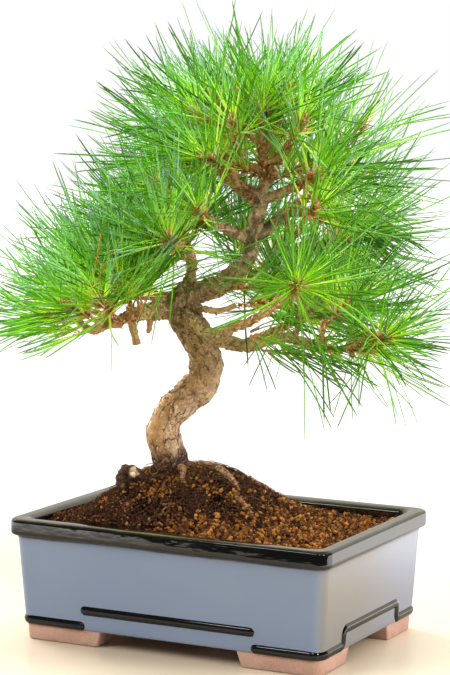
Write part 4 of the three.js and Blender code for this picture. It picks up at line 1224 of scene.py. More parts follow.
@dataclass
class Pot:
    """The pot: one fired body with its rim, mouldings, feet and drain holes."""

    sizes: PotSizes = field(default_factory=PotSizes)

    def profile(self) -> list[tuple[float, float]]:
        """Lists the section from the underside over the rim and down to the floor.

        Returns:
            Heights and how far each ring stands in from the rim's edge.
        """
        size = self.sizes
        low, floor, base, top = size.foot, size.floor, size.base_inset, size.height
        foot = top - size.rim_drop
        outer = [(low + 0.35, size.wall(low) + 0.35)]
        outer += [(level, size.wall(level)) for level in (low + 1.2, low + 4, foot - 8, foot - 3.4)]
        under = [(foot - 2, size.rim_overhang - 0.1), (foot - 1, 2.9), (foot - 0.45, 1.9)]
        under += [(foot - 0.1, 0.95), (foot + 0.55, 0.3), (foot + 1.5, 0.04), (foot + 3, 0.0)]
        rim = [(top - 2.6, 0.0), (top - 1.7, 0.12), (top - 1.0, 0.45), (top - 0.5, 0.95), (top - 0.15, 1.6)]
        rim += [(top - 0.02, 2.3), (top, 3.6), (top - 0.05, 7.4), (top - 0.3, 9.0), (top - 0.9, 10.4)]
        rim += [(top - 1.9, 11.3), (top - 3.4, 11.8), (top - 6, 12.0), (foot, 12.3)]
        inner = [(floor + 8, base + 7.7), (floor + 3, base + 8.8)]
        inner += [(floor + 0.8, base + 10.6), (floor, base + 13)]
        return outer + under + rim + inner

    def body(self) -> Piece:
        """Draws the body up from a rounded plate, ring by ring, and drills the drains.

        Returns:
            The body.
        """
        size = self.sizes
        start = size.wall(size.foot) + 1.2
        bpy.ops.mesh.primitive_plane_add(size=1, location=placed([(0, 0, size.foot)])[0])
        bpy.context.object.scale = ((size.length - 2 * start) * MM, (size.depth - 2 * start) * MM, 1)
        body = Bench.named("pot_body")
        with Bench.editing(body, "VERT", everything=True):
            bpy.ops.mesh.bevel(offset=(size.corner - 1) * MM, segments=9, affect="VERTICES")
            bpy.ops.mesh.select_mode(type="FACE")
            bpy.ops.mesh.select_all(action="SELECT")
            height, inset = size.foot, start
            sides = (size.length, size.depth)
            for next_height, next_inset in self.profile():
                bpy.ops.mesh.extrude_region_move()
                bpy.ops.transform.translate(value=(0, 0, (next_height - height) * MM))
                wide, deep = ((side - 2 * next_inset) / (side - 2 * inset) for side in sides)
                middle = placed([(0, 0, next_height)])[0]
                bpy.ops.transform.resize(value=(wide, deep, 1), center_override=middle)
                height, inset = next_height, next_inset
        Bench.outward(body)
        for sign in (-1, 1):
            at = placed([(sign * size.drain_x, 0, 0)])[0]
            radius, depth = size.drain_radius * MM, 3 * size.floor * MM
            bpy.ops.mesh.primitive_cylinder_add(vertices=48, radius=radius, depth=depth, location=at)
            drill = Bench.named("drain_drill")
            Bench.modify(body, "BOOLEAN", operation="DIFFERENCE", object=drill, solver="EXACT")
            bpy.data.objects.remove(drill)
        return body

    def foot_piece(self) -> Piece:
        """Models the foot of the front left corner from a block with two arms drawn out of it.

        Returns:
            The foot.
        """
        size = self.sizes
        edge_x, edge_y = (side / 2 - size.base_inset - 0.9 for side in (size.length, size.depth))
        middle = (-edge_x + size.foot_width / 2, -edge_y + size.foot_width / 2, size.foot_top / 2)
        bpy.ops.mesh.primitive_cube_add(size=1, location=placed([middle])[0])
        bpy.context.object.scale = (size.foot_width * MM, size.foot_width * MM, size.foot_top * MM)
        foot = Bench.named("foot")
        reach_x, reach_y = ((arm - size.foot_width) * MM for arm in (size.arm_x, size.arm_y))
        for aim, move in ((Vector((1, 0, 0)), (reach_x, 0, 0)), (Vector((0, 1, 0)), (0, reach_y, 0))):
            Bench.pick(
                foot, lambda centre, facing, aim=aim: facing.dot(aim) > 0.9 and self._inner(centre, aim)
            )
            with Bench.editing(foot):
                bpy.ops.mesh.extrude_region_move(TRANSFORM_OT_translate={"value": move})
        self._slant(foot)
        with Bench.editing(foot, "VERT", everything=True):
            bpy.ops.mesh.normals_make_consistent(inside=False)
        corner = Vector(placed([(-edge_x, -edge_y, 0)])[0]).xy
        near = 2 * MM
        Bench.pick(
            foot, lambda centre, way: abs(way.z) > 0.9 and max(map(abs, centre.xy - corner)) < near, "EDGE"
        )
        with Bench.editing(foot, "EDGE"):
            bpy.ops.mesh.bevel(offset=7.0 * MM, segments=6, affect="EDGES")
        limits = {"limit_method": "ANGLE", "angle_limit": math.radians(40)}
        Bench.modify(foot, "BEVEL", width=1.1 * MM, segments=3, **limits)
        return foot

    @staticmethod
    def _inner(centre: Vector, aim: Vector) -> bool:
        """Tells whether a face is on the corner block's own side, and not on an arm drawn before."""
        flat = Vector((centre.x - CENTRE[0], centre.y - CENTRE[1]))
        return (flat.y < -0.055) if aim.x > 0.5 else (flat.x < -0.09)

    def _slant(self, foot: Piece) -> None:
        """Draws the lower edges of the arms' ends in, so that they slope, and tapers the foot a little."""
        size = self.sizes
        tall = size.foot_top * MM
        corner = placed([(-size.length / 2 + size.base_inset, -size.depth / 2 + size.base_inset, 0)])[0]
        for vertex in foot.data.vertices:
            low = 1.0 - vertex.co.z / tall
            for axis, arm in enumerate((size.arm_x, size.arm_y)):
                from_corner = vertex.co[axis] - corner[axis]
                vertex.co[axis] += (-4.0 if from_corner > (arm - 3) * MM else 0.9) * low * MM

    def feet(self) -> Piece:
        """Copies the foot to the four corners.

        Returns:
            The four feet.
        """
        corners = [self.foot_piece()]
        there, back = Matrix.Translation(CENTRE), Matrix.Translation(-Vector(CENTRE))
        for wide, deep in ((-1, 1), (1, -1), (-1, -1)):
            copy = Bench.linked("foot", corners[0].data.copy())
            copy.data.transform(there @ Matrix.Diagonal((wide, deep, 1, 1)) @ back)
            corners.append(copy)
        feet = Bench.joined("pot_feet", *corners)
        Bench.outward(feet)
        Bench.smooth(feet, 40)
        return feet

    def _wall_run(self, *stops: Row) -> Array:
        """Lays a line on the outer wall through stops, going round the corner arcs.

        Args:
            stops: [x, y, height] in millimetres, by their place on a square corner.

        Returns:
            The line's points, in millimetres, on the wall.
        """
        size = self.sizes
        points: list[Row] = []
        for x, y, z in stops:
            inset = size.wall(z)
            half_x, half_y = size.length / 2 - inset, size.depth / 2 - inset
            if abs(x) > half_x - 0.1 and abs(y) > half_y - 0.1:
                middle = (math.copysign(half_x - size.corner, x), math.copysign(half_y - size.corner, y))
                quarter = math.floor(math.atan2(y, x) / (math.pi / 2)) * math.pi / 2
                turns = [quarter + math.pi / 2 * i / 8 for i in range(9)]
                arc = [
                    (middle[0] + size.corner * math.cos(turn), middle[1] + size.corner * math.sin(turn), z)
                    for turn in turns
                ]
                if points:
                    from_last = partial(math.dist, points[-1][:2])
                    if from_last(arc[0][:2]) > from_last(arc[-1][:2]):
                        arc.reverse()
                points += arc
            else:
                points.append((min(max(x, -half_x), half_x), min(max(y, -half_y), half_y), z))
        return np.array(points)

    def bead_lines(self) -> Iterator[Array]:
        """Walks the lines of the mouldings: low round the corners, high between them.

        Yields:
            One line of points a moulding, in millimetres.
        """
        size = self.sizes
        low = size.foot + 3.2
        high = low + size.bead_rise
        step_x = size.length / 2 - size.base_inset - size.bead_step_x
        step_y = size.depth / 2 - size.base_inset - size.bead_step_y
        steps = [(-2.6, low), (-0.6, low + 1.2), (0, low + 3)]
        steps += [(0, high - 3), (0.6, high - 1.2), (2.6, high)]
        beyond = 200
        for sign in (-1, 1):
            far, near = sign * beyond, sign * (step_x - 4)
            side = [(far, y - step_y, z) for y, z in steps]
            side += [(far, step_y - y, z) for y, z in reversed(steps)]
            ends = [(near, -beyond, low), (far, -beyond, low), (far, beyond, low), (near, beyond, low)]
            yield self._wall_run(*ends[:2], *side, *ends[2:])
            yield self._wall_run((-step_x - 1, far, high), (step_x + 1, far, high))

    def _bead(self, line: Array) -> tuple[Array, Array]:
        """Sinks a moulding's line half into the wall and rounds its ends.

        Args:
            line: The line's points, in millimetres, on the wall.

        Returns:
            Closely set points in metres, and the moulding's radius at each in millimetres.
        """
        size = self.sizes
        steps = np.concatenate([[0], np.cumsum(np.linalg.norm(np.diff(line, axis=0), axis=1))])
        places = np.unique(np.concatenate([steps, np.arange(0, steps[-1], 4.0), [0.25, 0.7, 1.3, 2.0, 2.9]]))
        places = np.unique(np.concatenate([places, steps[-1] - places[:6]]))
        points = np.stack([np.interp(places, steps, line[:, axis]) for axis in range(3)], axis=1)
        plan = points[:, :2]
        straight = np.array([size.length / 2 - size.corner, size.depth / 2 - size.corner])
        inward = plan - np.clip(plan, -straight + 8, straight - 8)
        on_wall = np.abs(plan) > straight + size.corner - size.base_inset - 0.3
        flat = np.where(on_wall, np.sign(plan), 0.0)
        at_corner = np.all(np.abs(plan) > straight - size.base_inset, axis=1)[:, None]
        round_way = plan - np.sign(plan) * (straight - size.base_inset)
        away = np.where(at_corner, round_way, np.where(np.abs(flat).sum(1)[:, None] > 0, flat, inward))
        points[:, :2] -= unit(away) * size.bead_sunk
        ends = np.minimum(places, steps[-1] - places) / size.bead_radius
        girth = size.bead_radius * np.sqrt(1 - np.clip(1 - ends, 0, 1) ** 2)
        return placed(points), np.maximum(girth, 0.05)

    def build(self) -> list[Piece]:
        """Builds and joins the pot's pieces.

        Returns:
            The glazed body and the clay feet.
        """
        body = self.body()
        beads = Bench.rods("pot_beads", map(self._bead, self.bead_lines()), 5)
        Bench.outward(beads)
        self._mark(body, 0.0)
        self._mark(beads, 1.0)
        body = Bench.joined("pot_body", body, beads)
        Bench.smooth(body, 38)
        Bench.modify(body, "WEIGHTED_NORMAL", keep_sharp=True)
        return [body, self.feet()]

    def _mark(self, piece: Piece, pooled: float) -> None:
        """Marks where glaze pools, where it thins at the rim's edges, and the right wall, which gets a paler
        painted reflection.
        """
        size = self.sizes
        points, normals = Bench.read(piece)
        x, y, z = ((points - CENTRE) / MM).T
        inset = np.minimum(size.length / 2 - np.abs(x), size.depth / 2 - np.abs(y))
        top = eased(size.height - 2.2, size.height - 0.6, z)
        low = hill(z, size.height - size.rim_drop + 0.3, 0.9) * (inset < 2)
        edge = hill(inset, 1.6, 1.2) + hill(inset, 10.2, 1.3)
        thin = np.clip(edge * top + 0.25 * low, 0, 1) * (1 - pooled)
        # side marks the right wall, which gets a paler painted reflection.
        Bench.keep(piece, thin=thin, pooled=np.full(len(x), pooled), side=eased(0.3, 0.9, normals[:, 0]))

    def dress(self, body: Piece, feet: Piece) -> None:
        """Gives the body its glaze, with bare clay under it and in its floor, and the feet their clay."""
        glaze, clay = GlossGlaze().material(), BareClay().material()
        body.data.materials.append(glaze)
        body.data.materials.append(clay)
        feet.data.materials.append(clay)
        under, floor = (self.sizes.foot + 0.5) * MM, (self.sizes.floor + 2) * MM
        inside_x, inside_y = 95 * MM, 60 * MM
        for face in body.data.polygons:
            x, y, z = np.abs(np.array(face.center) - CENTRE)
            face.material_index = int(z < under or (z < floor and x < inside_x and y < inside_y))


@dataclass
class DrainScreen:
    """A square of plastic mesh over one drain hole."""

    name: str
    sign: int
    side: float = 28.0
    thick: float = 0.9
    cells: int = 11
    seat: float = 0.45

    def build(self) -> Piece:
        """Turns a flat grid into a mesh of crossing bars.

        Returns:
            The screen.
        """
        sizes = PotSizes()
        height = sizes.floor + self.seat + self.thick / 2
        bpy.ops.mesh.primitive_grid_add(
            x_subdivisions=self.cells,
            y_subdivisions=self.cells,
            size=(self.side - 1.0) * MM,
            location=placed([(self.sign * sizes.drain_x, 0, height)])[0],
        )
        screen = Bench.named(self.name)
        settings = {"use_even_offset": False, "use_boundary": True, "use_replace": True}
        Bench.modify(screen, "WIREFRAME", thickness=self.thick * MM, **settings)
        Bench.smooth(screen, 40)
        return screen


def heap_height(x: Array, y: Array) -> Array:
    """Finds the soil's surface: level towards the walls and heaped up round the trunk.

    Args:
        x: Millimetres to the right of the pot's centre line.
        y: Millimetres behind it.

    Returns:
        Millimetres above the ground.
    """
    dx, dy = x + 14.0, (y - 2.0) / 52.0
    far = np.where(dx < 0, (dx / 68.0) ** 4, (dx / 62.0) ** 2) + dy**2
    return 76.0 + 42.0 * np.exp(-far)


class Grain(Enum):
    """The kinds of loose grain, as [share of orange ones, least radius, greatest radius]."""

    AKADAMA = (0.74, 0.8, 2.5)
    CRUMB = (0.14, 0.45, 1.6)


@dataclass
class Soil:
    """The soil: a packed bed, loose granules and crumbs on it, and fine roots."""

    half_x: float = 107.4
    half_y: float = 72.4
    columns: int = 150
    rows: int = 102
    floor: float = 19.6
    akadama: int = 5900
    crumbs: int = 7200
    fibres: int = 520
    rod_steps: int = 8
    lumps: int = 6
    seed: int = 77

    def surface(self, x: Array, y: Array) -> Array:
        """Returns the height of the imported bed, in millimetres, with its lumps."""
        lumps = 1.5 * rolling(x, y, 11.0, 3.1) + 1.0 * rolling(x, y, 4.2, 8.4)
        edge = np.minimum(self.half_x - np.abs(x), self.half_y - np.abs(y))
        rim = np.exp(-np.clip(edge, 0, None) / 4.0) * rolling(x, y, 20.0, 5.5)
        level = heap_height(x, y) - 1.4 + rim
        banked = level.copy()
        for rows in ROOTS.values():
            limb = Route.limb(rows)
            shares = limb.even(2 * MM)
            for at, girth in zip((limb.at(shares) - CENTRE) / MM, limb.radius(shares) / MM):
                bank = at[2] - 0.55 * girth - 0.55 * np.hypot(x - at[0], y - at[1])
                banked = np.maximum(banked, np.minimum(bank, level + 5.0))
        return banked + lumps

    def bed(self) -> Piece:
        """Heaps up a fine grid and closes it with sides and a floor.

        Returns:
            The bed.
        """
        middle = placed([(0, 0, self.floor)])[0]
        bpy.ops.mesh.primitive_grid_add(
            x_subdivisions=self.columns, y_subdivisions=self.rows, size=2, location=middle
        )
        bpy.context.object.scale = (self.half_x * MM, self.half_y * MM, 1)
        bed = Bench.named("soil_bed")
        points = Bench.read(bed)[0]
        x, y, _ = ((points - CENTRE) / MM).T
        points[:, 2] = self.surface(x, y) * MM
        bed.data.vertices.foreach_set("co", points.reshape(-1))
        with Bench.editing(bed, "EDGE"):
            bpy.ops.mesh.select_all(action="DESELECT")
            bpy.ops.mesh.select_non_manifold()
            bpy.ops.mesh.extrude_region_move()
            bpy.ops.transform.resize(value=(0.93, 0.9, 0), center_override=middle)
            bpy.ops.mesh.edge_face_add()
        Bench.outward(bed)
        Bench.smooth(bed, 60)
        return bed

    @staticmethod
    def _lump(seed: int) -> Pattern:
        """Returns an icosphere knocked into an irregular lump of about one unit in radius."""
        bpy.ops.mesh.primitive_ico_sphere_add(subdivisions=1, radius=1)
        lump = Bench.named("lump")
        draw = np.random.default_rng(seed)
        for vertex in lump.data.vertices:
            vertex.co *= draw.uniform(0.52, 1.22)
        lump.data.transform(Matrix.Diagonal((1.0, draw.uniform(0.75, 1.0), draw.uniform(0.6, 0.9), 1.0)))
        return Pattern.of(lump)

    def loose(self, kind: Grain, count: int, name: str) -> Piece:
        """Scatters grains over the bed.

        Args:
            kind: Which grains.
            count: How many.
            name: The piece's name.

        Returns:
            The grains as one piece.
        """
        orange, least, most = kind.value
        draw = np.random.default_rng(self.seed + len(name))
        x, y = (draw.uniform(-half + 1.6, half - 1.6, 5 * count) for half in (self.half_x, self.half_y))
        heap = eased(80.0, 96.0, heap_height(x, y))
        patch = eased(0.05, 0.4, rolling(x, y, 15.0, 21.0))
        front = eased(-20.0, 50.0, x - 0.5 * y)
        wanted = 0.3 + 0.7 * heap
        if kind is Grain.AKADAMA:
            wanted = (1 - heap) * (0.22 + 0.78 * front) + 0.4 * heap * patch
        kept = np.flatnonzero(draw.uniform(0, 1, len(x)) < wanted)[:count]
        x, y, heap, patch, front = (values[kept] for values in (x, y, heap, patch, front))
        total = len(x)
        radius = mixed(least, most * (0.62 + 0.38 * front), draw.uniform(0, 1, total) ** 2.0)
        height = self.surface(x, y) + radius * draw.uniform(-0.1, 0.75, total)
        warm = hill(x, -38, 15) * hill(y, -26, 12) + hill(x, -14, 9) * hill(y, -16, 8)
        odds = orange * (0.35 + 0.65 * front) * (1 - 0.45 * heap) + (0.25 * patch + 0.75 * warm) * heap
        lit = draw.uniform(0, 1, total) < odds
        radius *= np.where(lit & (kind is Grain.CRUMB), 1 + 0.7 * heap, 1.0)
        tone = np.where(lit, draw.uniform(0.45 + 0.25 * heap, 1.0), draw.uniform(0.0, 0.56, total))
        starts = placed(np.stack([x, y, height], axis=1))
        batch = Batch()
        for index, shape in enumerate([self._lump(self.seed + step) for step in range(self.lumps)]):
            mine = np.arange(index, total, self.lumps)
            turns = np.linalg.qr(draw.normal(size=(len(mine), 3, 3)))[0]
            turns *= np.sign(np.linalg.det(turns))[:, None, None]
            points = np.einsum("nij,pj->npi", turns, shape.points) * radius[mine][:, None, None] * MM
            batch.add(shape, points + starts[mine][:, None], 0.0, tone[mine][:, None])
        return batch.piece(name, 24)

    def fine_roots(self) -> Piece:
        """Lays thin roots over the heap, each following the bed with its own waves.

        Returns:
            The fine roots as one piece.
        """
        draw = np.random.default_rng(self.seed + 5)
        step = 1 / self.rod_steps
        bpy.ops.mesh.primitive_cylinder_add(vertices=4, radius=0.5, depth=step, location=(0, 0, step / 2))
        heights = (step * place for place in range(2, self.rod_steps + 1))
        rod = Pattern.drawn_up(Bench.named("rod"), ((height, 1.0) for height in heights))
        x = draw.normal(-12, 34, 4 * self.fibres)
        y = draw.normal(-6, 26, 4 * self.fibres)
        free = (np.abs(x) < self.half_x - 14) & (np.abs(y) < self.half_y - 12)
        kept = np.flatnonzero(free)[: self.fibres]
        x, y = x[kept], y[kept]
        count = len(x)
        away = np.arctan2(y - 2, x + 14) + draw.normal(0, 0.9, count)
        length = draw.uniform(7, 24, count)
        curl = draw.normal(0, 0.6, count)
        share = rod.points[:, 2]
        wave = 0.5 * np.sin(share * 9 + draw.uniform(0, 6, count)[:, None])
        bearing = away[:, None] + curl[:, None] * share + wave
        px = x[:, None] + length[:, None] * share * np.cos(bearing)
        py = y[:, None] + length[:, None] * share * np.sin(bearing)
        px, py = (np.clip(p, 1 - half, half - 1) for p, half in ((px, self.half_x), (py, self.half_y)))
        lift = 0.6 + draw.uniform(0, 2.2, count)[:, None] * np.sin(np.pi * share)
        pz = self.surface(px.reshape(-1), py.reshape(-1)).reshape(px.shape) + lift
        width = mixed(0.25, 0.75, draw.uniform(0, 1, count) ** 3)[:, None] * (1 - 0.5 * share)
        side = np.stack([-np.sin(bearing), np.cos(bearing)], axis=2)
        points = np.stack([px, py, pz], axis=2)
        points[:, :, :2] += side * (rod.points[:, 0] * width)[:, :, None]
        points[:, :, 2] += rod.points[:, 1] * width
        pale = draw.uniform(0, 1, count) < 0.07
        tone = np.where(pale, draw.uniform(0.35, 0.8, count), draw.uniform(0, 0.14, count))
        batch = Batch()
        batch.add(rod, placed(points).reshape(points.shape), share, tone[:, None])
        return batch.piece("fine_roots")

    def build(self) -> list[Piece]:
        """Builds the bed, the grains and the fine roots.

        Returns:
            The pieces, the bed first.
        """
        return [
            self.bed(),
            self.loose(Grain.AKADAMA, self.akadama, "clay_granules"),
            self.loose(Grain.CRUMB, self.crumbs, "soil_crumbs"),
            self.fine_roots(),
        ]

    @staticmethod
    def dress(pieces: Sequence[Piece]) -> None:
        """Gives each piece its finish."""
        grain = SoilGrain().material()
        for piece, material in zip(pieces, (SoilBed().material(), grain, grain, RootHair().material())):
            piece.data.materials.append(material)


@dataclass
class Twig:
    """A spray's twig and shoot: where the shoot starts, its heading and the line that leads to it."""

    number: int
    branch: str
    start: Array
    way: Array
    line: Route
    pairs: int = 0
    few: ClassVar[int] = 30

    @property
    def name(self) -> str:
        """Returns the name of the solid that the spray stands for."""
        return f"spray_{self.number:02d}"

    @property
    def loose(self) -> bool:
        """Tells whether it is a loose tuft of few pairs."""
        return 0 < self.pairs < self.few

    @property
    def facing(self) -> float:
        """Returns how far the shoot points to the front, from 0 to 1."""
        return max(0.0, float(self.way @ turned([(0, -1, 0)])[0]))


@dataclass
class Tree:
    """The wood: trunk, branches, twigs and roots, grown together and covered with bark."""

    shoot_middle: float = 12.0
    shoot_radius: float = 1.5
    voxel: float = 0.66
    step: float = 1.6
    flakes: int = 1900
    kept_faces: float = 0.55
    scar: float = 5.2
    scar_edge: float = 1.6
    seed: int = 404

    def twigs(self) -> list[Twig]:
        """Works out every spray's twig.

        Returns:
            The twigs in the sprays' order.
        """
        found = []
        for branch, rows in SPRAYS.items():
            limb = Route.limb(BRANCHES[branch])
            for share, across, back, up, azimuth, rise in rows:
                way = heading(azimuth, rise)
                start = spot((across, back, up)) - way * self.shoot_middle * MM
                leaves = limb.at(share)[0]
                reach = np.linalg.norm(leaves - start)
                thick = min((1.8 if branch == "leader" else 2.4) * MM, float(limb.radius(share)[0]))
                radii = [thick, (thick + self.shoot_radius * MM) / 2, self.shoot_radius * MM]
                line = Route(np.array([leaves, start - 0.35 * reach * way, start]), radii)
                found.append(Twig(len(found) + 1, branch, start, way, line))
        return found

    def routes(self) -> list[tuple[str, Route]]:
        """Lists every limb's line with its kind: trunk, branch, root or twig."""
        limbs = [("trunk", Route.limb(TRUNK))]
        limbs += [("branch", Route.limb(rows)) for rows in BRANCHES.values()]
        limbs += [("root", Route.limb(rows)) for rows in ROOTS.values()]
        return limbs + [("twig", twig.line) for twig in self.twigs()]

    def _swollen(self) -> Iterator[tuple[Array, Array]]:
        """Walks the limbs' lines, each with girths that swell and shrink a little.

        Yields:
            A limb's points in metres and its radii in millimetres.
        """
        for index, (kind, route) in enumerate(self.routes()):
            shares = route.even(self.step * MM)
            along = np.arange(len(shares)) * self.step
            swell = 0.07 if kind in ("branch", "twig") else 0.04
            waves = 1 + swell * np.sin(along / 3.1 + index) + swell * np.sin(along / 7.3 + 2.1 * index)
            yield route.at(shares), route.radius(shares) / MM * waves

    def grown(self) -> Piece:
        """Runs a rod of changing girth along every line and melts them into one skin.

        Returns:
            The wood, without bark.
        """
        piece = Bench.rods("tree_wood", self._swollen(), 6)
        Bench.modify(piece, "REMESH", mode="VOXEL", voxel_size=self.voxel * MM)
        Bench.modify(piece, "SMOOTH", factor=0.5, iterations=5)
        return piece

    def nearest(self, points: Array) -> dict[str, Array]:
        """Finds for each point the limb whose surface is nearest, and the point's place on it.

        Args:
            points: Points on the wood's surface.

        Returns:
            Arrays by name: the radius there, the limb's mean radius, the angle round it, the distance along it,
            its kind and its number.
        """
        rows = []
        for index, (kind, route) in enumerate(self.routes()):
            shares = route.even(1.2 * MM)
            line = route.at(shares)
            way = unit(np.gradient(line, axis=0))
            side = np.empty_like(way)
            last = cross_axes(way[:1])[0][0]
            for place, tangent in enumerate(way):
                last = unit(last - tangent * last.dot(tangent))
                side[place] = last
            girth = route.radius(shares)
            same = np.ones(len(line))
            along = np.concatenate([[0], np.cumsum(np.linalg.norm(np.diff(line, axis=0), axis=1))])
            order = ("trunk", "branch", "root", "twig").index(kind)
            rows.append((line, way, side, girth, girth.mean() * same, along, order * same, index * same))
        columns = (np.concatenate(column) for column in zip(*rows))
        centre, way, side, girth, mean, along, kinds, limbs = columns
        near = np.empty(len(points), int)
        chunk = 4000
        for start in range(0, len(points), chunk):
            some = points[start : start + chunk]
            gap = np.linalg.norm(some[:, None] - centre[None], axis=2) - girth[None]
            near[start : start + chunk] = gap.argmin(axis=1)
        off = points - centre[near]
        slip = np.sum(off * way[near], axis=1)
        off -= slip[:, None] * way[near]
        over = np.cross(way[near], side[near])
        return {
            "radius": girth[near],
            "mean": mean[near],
            "angle": np.arctan2(np.sum(off * over, axis=1), np.sum(off * side[near], axis=1)),
            "along": along[near] + slip,
            "kind": kinds[near],
            "limb": limbs[near],
        }

    @staticmethod
    def plate_spots(place: dict[str, Array]) -> Array:
        """Finds where each point lies in a space in which one bark plate is about one unit across.

        Args:
            place: What nearest() found.

        Returns:
            One spot a row.
        """
        width = 1.3 * MM + 0.50 * place["mean"]
        ring = place["mean"] / width
        lengthwise = place["along"] / (1.9 * width) + 7.3 * place["limb"]
        return np.stack([np.cos(place["angle"]) * ring, np.sin(place["angle"]) * ring, lengthwise], axis=1)

    @staticmethod
    def plate_relief(spots: Array) -> Array:
        """Finds how each point stands: proud on its plate, and low in the gap round it.

        Args:
            spots: Where the points lie among the plates.

        Returns:
            A height for each point, from -1 to 1.
        """
        height = np.empty(len(spots))
        for index, at in enumerate(map(Vector, spots)):
            at += 0.34 * noise.noise_vector(at * 1.7) + 0.16 * noise.noise_vector(at * 4.1)
            gaps, cells = noise.voronoi(at)
            gap = min((gaps[1] - gaps[0]) / 0.16, 1.0)
            height[index] = 0.55 * (noise.cell(cells[0] * 9.0) - 0.5) - 0.55 * (1.0 - gap) ** 2
        return height

    @staticmethod
    def hollows(wood: Piece, points: Array, normals: Array) -> Array:
        """Finds the creases where limbs meet, from how the skin bends round each point, for the shade that is
        painted in them.

        Args:
            wood: The wood.
            points: Its points.
            normals: Their normals.

        Returns:
            0 on open wood to 1 in a crease, one a point.
        """
        edges = wood.data.edges
        ends = np.empty(len(edges) * 2, int)
        edges.foreach_get("vertices", ends)
        first, second = ends.reshape(-1, 2).T
        count = len(points)
        run = unit(points[second] - points[first])

        def gathered(one: Array, two: Array) -> Array:
            """Adds up the edges' numbers at the points they start from and the points they end at."""
            return np.bincount(first, one, count) + np.bincount(second, two, count)

        bend = gathered(np.sum(run * normals[first], axis=1), -np.sum(run * normals[second], axis=1))
        degree = np.maximum(gathered(np.ones(len(first)), np.ones(len(first))), 1)
        bend /= degree
        for _ in range(4):
            bend = 0.4 * bend + 0.6 * gathered(bend[second], bend[first]) / degree
        return np.clip(9 * bend - 0.1, 0, 1)

    @staticmethod
    def near(points: Array, row: Row, reach: float) -> Array:
        """Returns 1 at a point of the tree, and less and less away from it by a reach in millimetres."""
        return hill(np.linalg.norm(points - spot(row), axis=1), 0.0, reach * MM)

    def bark(self, wood: Piece) -> None:
        """Raises the bark's plates and marks the wood for its finish.

        Args:
            wood: The grown wood, which is changed.
        """
        points, normals = Bench.read(wood)
        place = self.nearest(points)
        spots = self.plate_spots(place)
        radius = place["radius"]
        root = (place["kind"] == 2).astype(float)
        age = eased(1.9 * MM, 4.6 * MM, radius)
        near_knot = self.near(points, KNOT, 14)
        near_knob = self.near(points, KNOB, 12)
        rough = near_knot + near_knob
        hollow = self.hollows(wood, points, normals)
        lumps, gnarl, crust = (lumpy(points, scale) for scale in (130.0, 230.0, 420.0))
        scale = np.clip(radius / (11 * MM), 0.15, 1.0) * (1 - 0.5 * root)
        relief = self.plate_relief(spots) * scale * 0.75 * MM + lumps * np.clip(0.1 * radius, 0, 0.8 * MM)
        relief += crust * (0.16 + 1.7 * rough) * MM * np.clip(scale * 2, 0.4, 1) + lumps * 3.4 * rough * MM
        relief += near_knob * (3.4 * gnarl + 1.6 * crust) * MM
        wood.data.vertices.foreach_set("co", (points + normals * relief[:, None]).reshape(-1))
        height = points[:, 2]
        mossy = eased(-0.3, 0.8, normals[:, 2]) * eased(0.2, 0.23, height)
        moss = np.clip(near_knot * 1.15 + 0.2 * mossy, 0, 1)
        x, y, z = ((points - CENTRE) / MM).T
        from_scar = np.linalg.norm(points - spot(KNOB_FACE), axis=1) / MM
        cut = eased(self.scar, self.scar - self.scar_edge, from_scar + 1.6 * lumps) * root
        damp = (1 - eased(5.0, 17.0, z - heap_height(x, y) + 6.0 * lumps)) * (1 - 0.85 * root)
        # How each point faces: towards the front for painted shade, to the right and left for painted light.
        front, right, left = (normals @ np.array(way) for way in (SHADED_FRONT, LIT_RIGHT, LIT_LEFT))
        thin = eased(8.0 * MM, 5.5 * MM, radius) * eased(0.25, 0.235, height)
        Bench.keep(
            wood,
            age=age,
            hollow=hollow,
            moss=np.maximum(moss * age, 0.25 * near_knob),
            front=eased(0.45, 0.95, front),
            lit=np.maximum(eased(0.1, 0.8, right), 0.7 * eased(0.4, 0.9, left)),
            limb=(place["kind"] == 1) * thin,
            root=root,
            damp=np.maximum(damp, np.clip(2.2 * near_knob - 0.9 * gnarl, 0, 0.95)) * (1 - cut),
            cut=cut,
        )
        plate = wood.data.attributes.new("plate", "FLOAT_VECTOR", "POINT")
        plate.data.foreach_set("vector", spots.reshape(-1))
        wood.data.update()
        Bench.smooth(wood)

    @staticmethod
    def _chip() -> Pattern:
        """Returns a six-sided chip whose upper face is drawn in and raised."""
        bpy.ops.mesh.primitive_cylinder_add(vertices=6, radius=0.5, depth=1, location=(0, 0, 0))
        chip = Bench.named("chip")
        Bench.pick(chip, lambda centre, normal: normal.z > 0.9)
        with Bench.editing(chip):
            bpy.ops.mesh.inset(thickness=0.14)
            bpy.ops.transform.translate(value=(0, 0, 0.25))
        return Pattern.of(chip)

